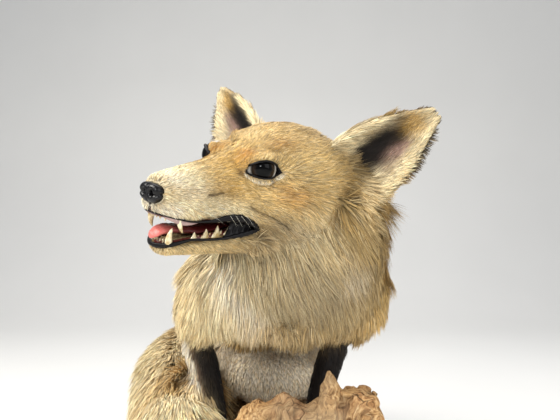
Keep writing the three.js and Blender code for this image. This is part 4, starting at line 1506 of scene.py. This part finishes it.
def cheek_lining(flip):
    """The black skin stretched between the lips at the mouth's corner, folded up and down."""
    columns, rows = 40, 18
    across, down = np.meshgrid(np.linspace(0, 1, columns), np.linspace(0, 1, rows), indexing="ij")
    front = 31 - 5 * down - 9 * np.sin(math.pi * down)
    x = front + (-2.6 - front) * across
    top_out, top = lip_at(UPPER_LIP, x)
    foot_out, foot = lip_at(LOWER_LIP, x)
    sag = np.sin(math.pi * down)
    out = top_out + (foot_out - top_out) * down - (0.8 + 4.2 * sag) * (1 - 0.6 * across)
    out += 0.8 * sag * np.sin(x * 1.5 + 2.2 * np.sin(down * 5)) * (1 - 0.5 * across)
    up = top + (foot - top) * down
    sheet = np.stack([x, out * flip, up], axis=2).reshape(-1, 3)
    inner = sheet - (0, LINING * flip, 0)
    index = np.arange(columns * rows).reshape(columns, rows)
    quads = np.stack([index[:-1, :-1], index[1:, :-1], index[1:, 1:], index[:-1, 1:]], axis=2)
    quads = quads.reshape(-1, 4)
    border = np.concatenate([index[:, 0], index[-1, 1:], index[-2::-1, -1], index[0, -2:0:-1]])
    after = np.roll(border, -1)
    count = len(sheet)
    side = np.stack([border, after, after + count, border + count], axis=1)
    faces = np.concatenate([quads, quads[:, ::-1] + count, side])
    obj = mesh_from("cheek", np.concatenate([sheet, inner]) * MM, [faces])
    obj.data.shade_smooth()
    return obj


INNER_LIP = [
    [70.5, 8, -40.6, 0.7, 1.1], [65, 12.2, -42.0, 0.8, 1.9], [60, 14.2, -43.4, 0.8, 2.0],
    [54, 15.6, -43.8, 0.7, 1.2], [49, 16.4, -43.2, 0.5, 0.5], [45, 17.2, -42.4, 0.3, 0.3],
]


def make_inner_lips(material):
    """The pale inner side of the upper lip, seen round the upper canines."""
    pieces = []
    for flip in (1, -1):
        fine = curve_through(np.array(INNER_LIP) * (1, flip, 1, 1, 1), 60)
        pieces.append(sweep("inner_lip", fine[:, :3], fine[:, 3:], sides=10))
    head_piece("inner_lips", pieces, material)


def fang(root, tip, radius, bow, thin=1.0, rings=9, sides=10, point=0.5):
    """A tooth or claw that curves from its root to its point. bow bends it sideways."""
    root, tip, bow = (np.asarray(v, float) for v in (root, tip, bow))
    t = np.linspace(0, 1, rings)
    path = root + np.outer(t, tip - root) + np.outer(4 * t * (1 - t), bow)
    width = radius * np.maximum(1 - t**1.35, 0.002) ** point
    return sweep("fang", path, np.stack([width * thin, width], axis=1), sides, up=(1, 0.01, 0))


CHEEK_CUSPS = ((0, 1, 3.6), (3.6, 0.36, 1.9), (-3.8, 0.42, 2.1))  # place, share of height, radius


def tooth_row(canine, cheek, incisors, root, way):
    """Teeth of one jaw, on both sides. way is 1 for teeth that stand up and -1 for hanging ones."""
    pieces = []
    for flip in (1, -1):
        x, y, tip_x, tip_y, length, radius = canine[flip]
        start, end = [x, y, root - way * 1.2], [tip_x, tip_y, root + way * length]
        row = [fang(start, end, radius, [1.9, 0.5, 0], 0.85, rings=12, point=0.6)]
        for at, out, tall in incisors:
            start, end = [at, out, root - way * 1.5], [at + 0.8, out, root + way * tall]
            row.append(fang(start, end, 1.35, [0.3, 0, 0]))
        for at, out, tall in cheek:
            for step, share, wide in CHEEK_CUSPS:
                foot = [at + step, out - 0.4, root - way * 0.8]
                top = [at + step - 0.5, out, root + way * tall * share]
                row.append(fang(foot, top, wide, [0, 0, 0], 0.42, sides=8, point=0.95))
        for tooth in row:
            put_points(tooth.data, points_of(tooth.data) * (1, flip, 1))
        pieces += row
    return pieces


def arch_path(rear, front, rear_half, front_half, level, count=60):
    """The line of a dental arch, from one rear end round the front to the other."""
    angle = np.linspace(-math.pi / 2, math.pi / 2, count // 2)
    bend = front_half * np.stack([np.cos(angle) - 1, np.sin(angle)], axis=1) + (front, 0)
    t = np.linspace(0, 1, count // 4, endpoint=False)[:, None]
    side = np.array([rear, -rear_half]) + t * (bend[0] - [rear, -rear_half])
    whole = np.concatenate([side, bend, side[::-1] * (1, -1)])
    return np.hstack([whole, np.full((len(whole), 1), level)])


def make_teeth(tooth, gum):
    """Both rows of teeth, each on a gum that follows the jaw's arch."""
    upper = tooth_row(
        {1: (60.6, 11.8, 57.2, 13.6, 11.0, 2.5), -1: (61.5, 11.6, 59.5, 13.4, 13.0, 3.0)},
        [(49, 13.0, 2.6), (28, 16.6, 3.8), (16, 18.0, 4.0)],
        [(69.6, 1.4, 3.2), (68.9, 4.2, 3.4), (67, 7, 4.2)],
        -40,
        -1,
    )
    lower = tooth_row(
        {1: (65.0, 7.6, 64.6, 9.9, 11.8, 3.0), -1: (60.0, 7.6, 59.6, 9.6, 8.6, 2.8)},
        [(47.0, 11.4, 5.6), (37.6, 13.2, 6.4), (28.4, 15.0, 7.6), (18, 16.8, 7.0)],
        [(66.4, 1.3, 3.4), (65.9, 3.7, 3.6), (64.4, 5.9, 4.4)],
        -1.4,
        1,
    )
    for piece in lower:
        put_points(piece.data, from_jaw(points_of(piece.data) / MM) * MM)
    upper_arch = arch_path(1, 71, 17.6, 10.6, -39.6)
    lower_arch = from_jaw(arch_path(5, 66.6, 16.4, 8.2, -1.8))
    for name, pieces, arch, tall in (
        ("upper", upper, upper_arch, 2.3),
        ("lower", lower, lower_arch, 2.4),
    ):
        gum_piece = sweep("gum", arch, np.tile([2.2, tall], (len(arch), 1)))
        head_piece(name + "_tooth_row", pieces, tooth, [name + "_teeth"])
        head_piece(name + "_gum", [gum_piece], gum)


# x, height, half width, half thickness along the tongue, jaw frame
TONGUE = [
    [6, 0.8, 9, 2.4], [20, 1.0, 10.5, 3.0], [38, 1.6, 9.8, 3.0], [50, 4.4, 7.5, 3.0],
    [60, 6.9, 6.8, 2.9], [66, 7.0, 6.2, 2.5], [70.5, 5.9, 4.8, 2.1], [73.2, 4.3, 2.9, 1.4],
    [74.3, 3.6, 1.1, 0.5],
]


def make_tongue(material):
    """A broad tongue with a groove, lifted over the front teeth."""
    rows = curve_through(np.array(TONGUE, float), 50)
    path = np.stack([rows[:, 0], 0 * rows[:, 0], rows[:, 1]], axis=1)
    tongue = sweep("tongue", path, rows[:, 2:], sides=28)
    points = points_of(tongue.data) / MM
    groove = np.exp(-((points[:, 1] / 1.6) ** 2)) * smooth(-points[:, 0], -74, -60)
    points[:, 2] -= 0.9 * groove
    points[:, 2] += 0.25 * ripple(points, 4.0, 31)
    mark(tongue.data, "fresh", smooth(points[:, 0], 54, 72))
    put_points(tongue.data, from_jaw(points) * MM)
    head_piece("tongue_muscle", [tongue], material, ["tongue"])


# ---------------------------------------------------------------- claws and whiskers

PAWS = {  # wrist on the sole's level, half width, length
    "forepaw_right": ([-43, -110, 72], 18, 36),
    "forepaw_left": ([38, -110, 72], 18, 36),
    "hind_foot_right": ([-59, -4, 110], 16.5, 32),
    "hind_foot_left": ([57, -4, 110], 16.5, 32),
}


def make_claws(material):
    """Four claws to each foot, curved down and forward."""
    pieces = []
    for (x, y, z), width, length in PAWS.values():
        for k, reach in ((-0.72, 0.84), (-0.26, 1), (0.26, 1), (0.72, 0.84)):
            toe = np.array([x + k * width, y - length * reach + 7, z + 7.0])
            root, tip = toe + [0, -4, 1.0], toe + [0, -14.6, -4.2]
            pieces.append(fang(root, tip, 2.0, [0, -0.6, 1.6], 0.7))
    dress(joined("claws", pieces), material)


def make_whiskers(material):
    """Stiff whiskers swept back from the upper lip, and bristles over the mouth's corner."""
    draw = np.random.default_rng(23)
    pieces = []
    places = [(row, place) for row in range(3) for place in range(4)]
    roots = [(58 - 6.5 * place - row, 16 + place, -26 - 3.8 * row) for row, place in places]
    roots += [(29 - 4.2 * place, 26.8 + 1.2 * place, -36.2 + 0.3 * place) for place in range(5)]
    for flip in (1, -1):
        for index, root in enumerate(roots):
            hanging = index >= len(places)
            way = np.array([-0.8, 0.22, -0.62] if hanging else [-0.88, 0.36, -0.2])
            way = way + draw.normal(0, 0.05, 3)
            long = draw.uniform(8, 13) if hanging else draw.uniform(16, 28)
            t = np.linspace(0, 1, 7)[:, None]
            bend = np.array([0, 0, -1.5] if hanging else [0, -1.5, -4.0])
            path = np.array(root) + unit(way) * long * t + bend * t * t
            thick = (0.09 if hanging else 0.13) * (1 - t[:, 0] * 0.85)
            pieces.append(sweep("whisker", path * (1, flip, 1), thick, sides=4))
    head_piece("whiskers", pieces, material)


# ---------------------------------------------------------------- driftwood

WOOD_VOXEL = 2.3 * MM
WOOD_SOLE = 1.2  # the sole is left flat up to this height, mm
noise.seed_set(7)  # unseeded, noise_vector differs from run to run


def wood_relief(points):
    """Depth of cracks, grooves and pits at each point of the wood, in mm."""
    mm = points / MM
    out = np.zeros(len(mm))
    for index, place in enumerate(mm.tolist()):
        q = Vector(place)
        twist = noise.noise_vector(q / 40) * 16 + noise.noise_vector(q / 13) * 4
        bent = q + twist
        upright = Vector((bent.x / 9, bent.y / 9, bent.z / 60))
        swirl = Vector((bent.x / 24, bent.y / 24, bent.z / 20))
        ridges = abs(noise.noise(upright))
        crease = max(0.16 - abs(noise.noise(swirl)), 0) / 0.16
        pit = max(noise.noise(q / 9) - 0.35, 0)
        out[index] = 1.5 * (1 - min(ridges * 3, 1)) + 2.6 * crease**2 + 3.0 * pit
    return out


def make_wood(material):
    """The root, weathered: soft edges, grooves that swirl round the burls, cracks and pits."""
    wood = welded_copy("driftwood", "driftwood_root")
    apply_modifier(wood, "REMESH", mode="VOXEL", voxel_size=WOOD_VOXEL)
    mesh = wood.data
    points, edges, triangles = points_of(mesh), edges_of(mesh), triangles_of(mesh)
    loose = np.where(points[:, 2] < WOOD_SOLE * MM, 0.0, 1.0)
    points = spread(points, edges, loose, 24, KEEP_VOLUME)
    normals = normals_at(points, triangles)
    relief = wood_relief(points)
    swell = 2.6 * ripple(points, 0.05, 51) + 1.1 * ripple(points, 0.02, 52)
    depth = (relief + np.maximum(swell + 1.0, 0)) * loose
    put_points(mesh, points - normals * (depth * MM)[:, None])
    # painted shade: how deep the relief cuts, so that the material darkens the deepest cracks and
    # pits
    mark(mesh, "cracks", np.clip((relief - 1.6) / 3, 0, 1))
    mesh.shade_smooth()
    dress(wood, material, ["driftwood"])


make_fur()
nose_skin = wet_skin("nose_leather", "070608", 0.26, 0.9, 0.14, 0.3)
lip_skin = wet_skin("lip_skin", "080607", 0.36, 1.4, 0.15, 0.2)
gum_skin = wet_skin("gum", "5A2622", 0.3, 1.6, 0.15)
tongue_skin = tongue_material()
glass = eye_material()
make_eye("left", glass)
make_eye("right", glass)
make_rims(lip_skin)
make_nose(nose_skin)
make_lips(lip_skin)
make_inner_lips(wet_skin("inner_lip", "A08680", 0.4, 1.2, 0.1, 0.4))
make_teeth(tooth_material(), gum_skin)
make_tongue(tongue_skin)
make_claws(plain_horn("claw_horn", "2A2320", 0.4))
make_whiskers(plain_horn("whisker_hair", "E9E2D0", 0.4))
make_wood(wood_material())

# ---------------------------------------------------------------- studio


def make_backdrop():
    """A pale sweep: floor, round corner and wall in one sheet."""
    bpy.ops.mesh.primitive_grid_add(x_subdivisions=2, y_subdivisions=40, size=1)
    sweep_sheet = bpy.context.object
    sweep_sheet.name = "studio_sweep"
    points = points_of(sweep_sheet.data)
    along = (points[:, 1] + 0.5) * 6.0
    flat, radius = 3.6, 0.9
    bend = np.clip((along - flat) / radius, 0, math.pi / 2)
    rise = np.maximum(along - flat - radius * math.pi / 2, 0)
    points[:, 0] *= 7
    points[:, 1] = np.minimum(along, flat) - 2.4 + radius * np.sin(bend)
    points[:, 2] = radius * (1 - np.cos(bend)) + rise
    put_points(sweep_sheet.data, points)
    sweep_sheet.data.shade_smooth()
    material, tree, place = new_material("matt_paper", 0.9, 0.2)
    stops = [(0, linear("EAE9E6")), (1, linear("EFEEEB"))]
    sweep_sheet.data.materials.append(
        shaded(material, Base_Color=mottled(tree, place, 3.0, 2.0, stops))
    )


def add_softbox(name, at, target, size, watts, code="FFFFFF"):
    light = bpy.data.lights.new(name, "AREA")
    light.shape = "RECTANGLE"
    light.size, light.size_y = size
    light.energy = watts
    light.color = linear(code)
    obj = placed(name, light)
    obj.location = at
    obj.rotation_euler = (Vector(target) - Vector(at)).to_track_quat("-Z", "Y").to_euler()


make_backdrop()
add_softbox("key_light", (-0.92, -0.78, 1.36), (0, -0.15, 0.28), (0.9, 0.7), 26, "FFFBF4")
add_softbox("fill_light", (1.2, -1.0, 0.8), (0, -0.1, 0.3), (1.2, 1.0), 8)
add_softbox("eye_light", (-0.19, -1.38, 0.66), (0, -0.2, 0.33), (0.22, 0.15), 6)
add_softbox("top_light", (0.1, 0.2, 1.6), (0, -0.05, 0.2), (1.4, 1.4), 12)

world = bpy.data.worlds.new("studio_air")
bpy.context.scene.world = world
world.use_nodes = True
world.node_tree.nodes["Background"].inputs["Color"].default_value = rgba(linear("E6E9EE"))
world.node_tree.nodes["Background"].inputs["Strength"].default_value = 0.55

FRAME_WIDTH = 560  # pixels of the picture's frame
FOCAL_PIXELS = 460
camera_data = bpy.data.cameras.new("camera")
camera_data.sensor_width = 36
camera_data.lens = 36 * FOCAL_PIXELS / FRAME_WIDTH
camera_data.clip_start = 0.02
camera = placed("camera", camera_data)
camera.location = (0.010, -0.540, 0.290)
camera.rotation_euler = (math.radians(95), 0, 0)
bpy.context.scene.camera = camera
bpy.context.scene.view_settings.view_transform = "Standard"
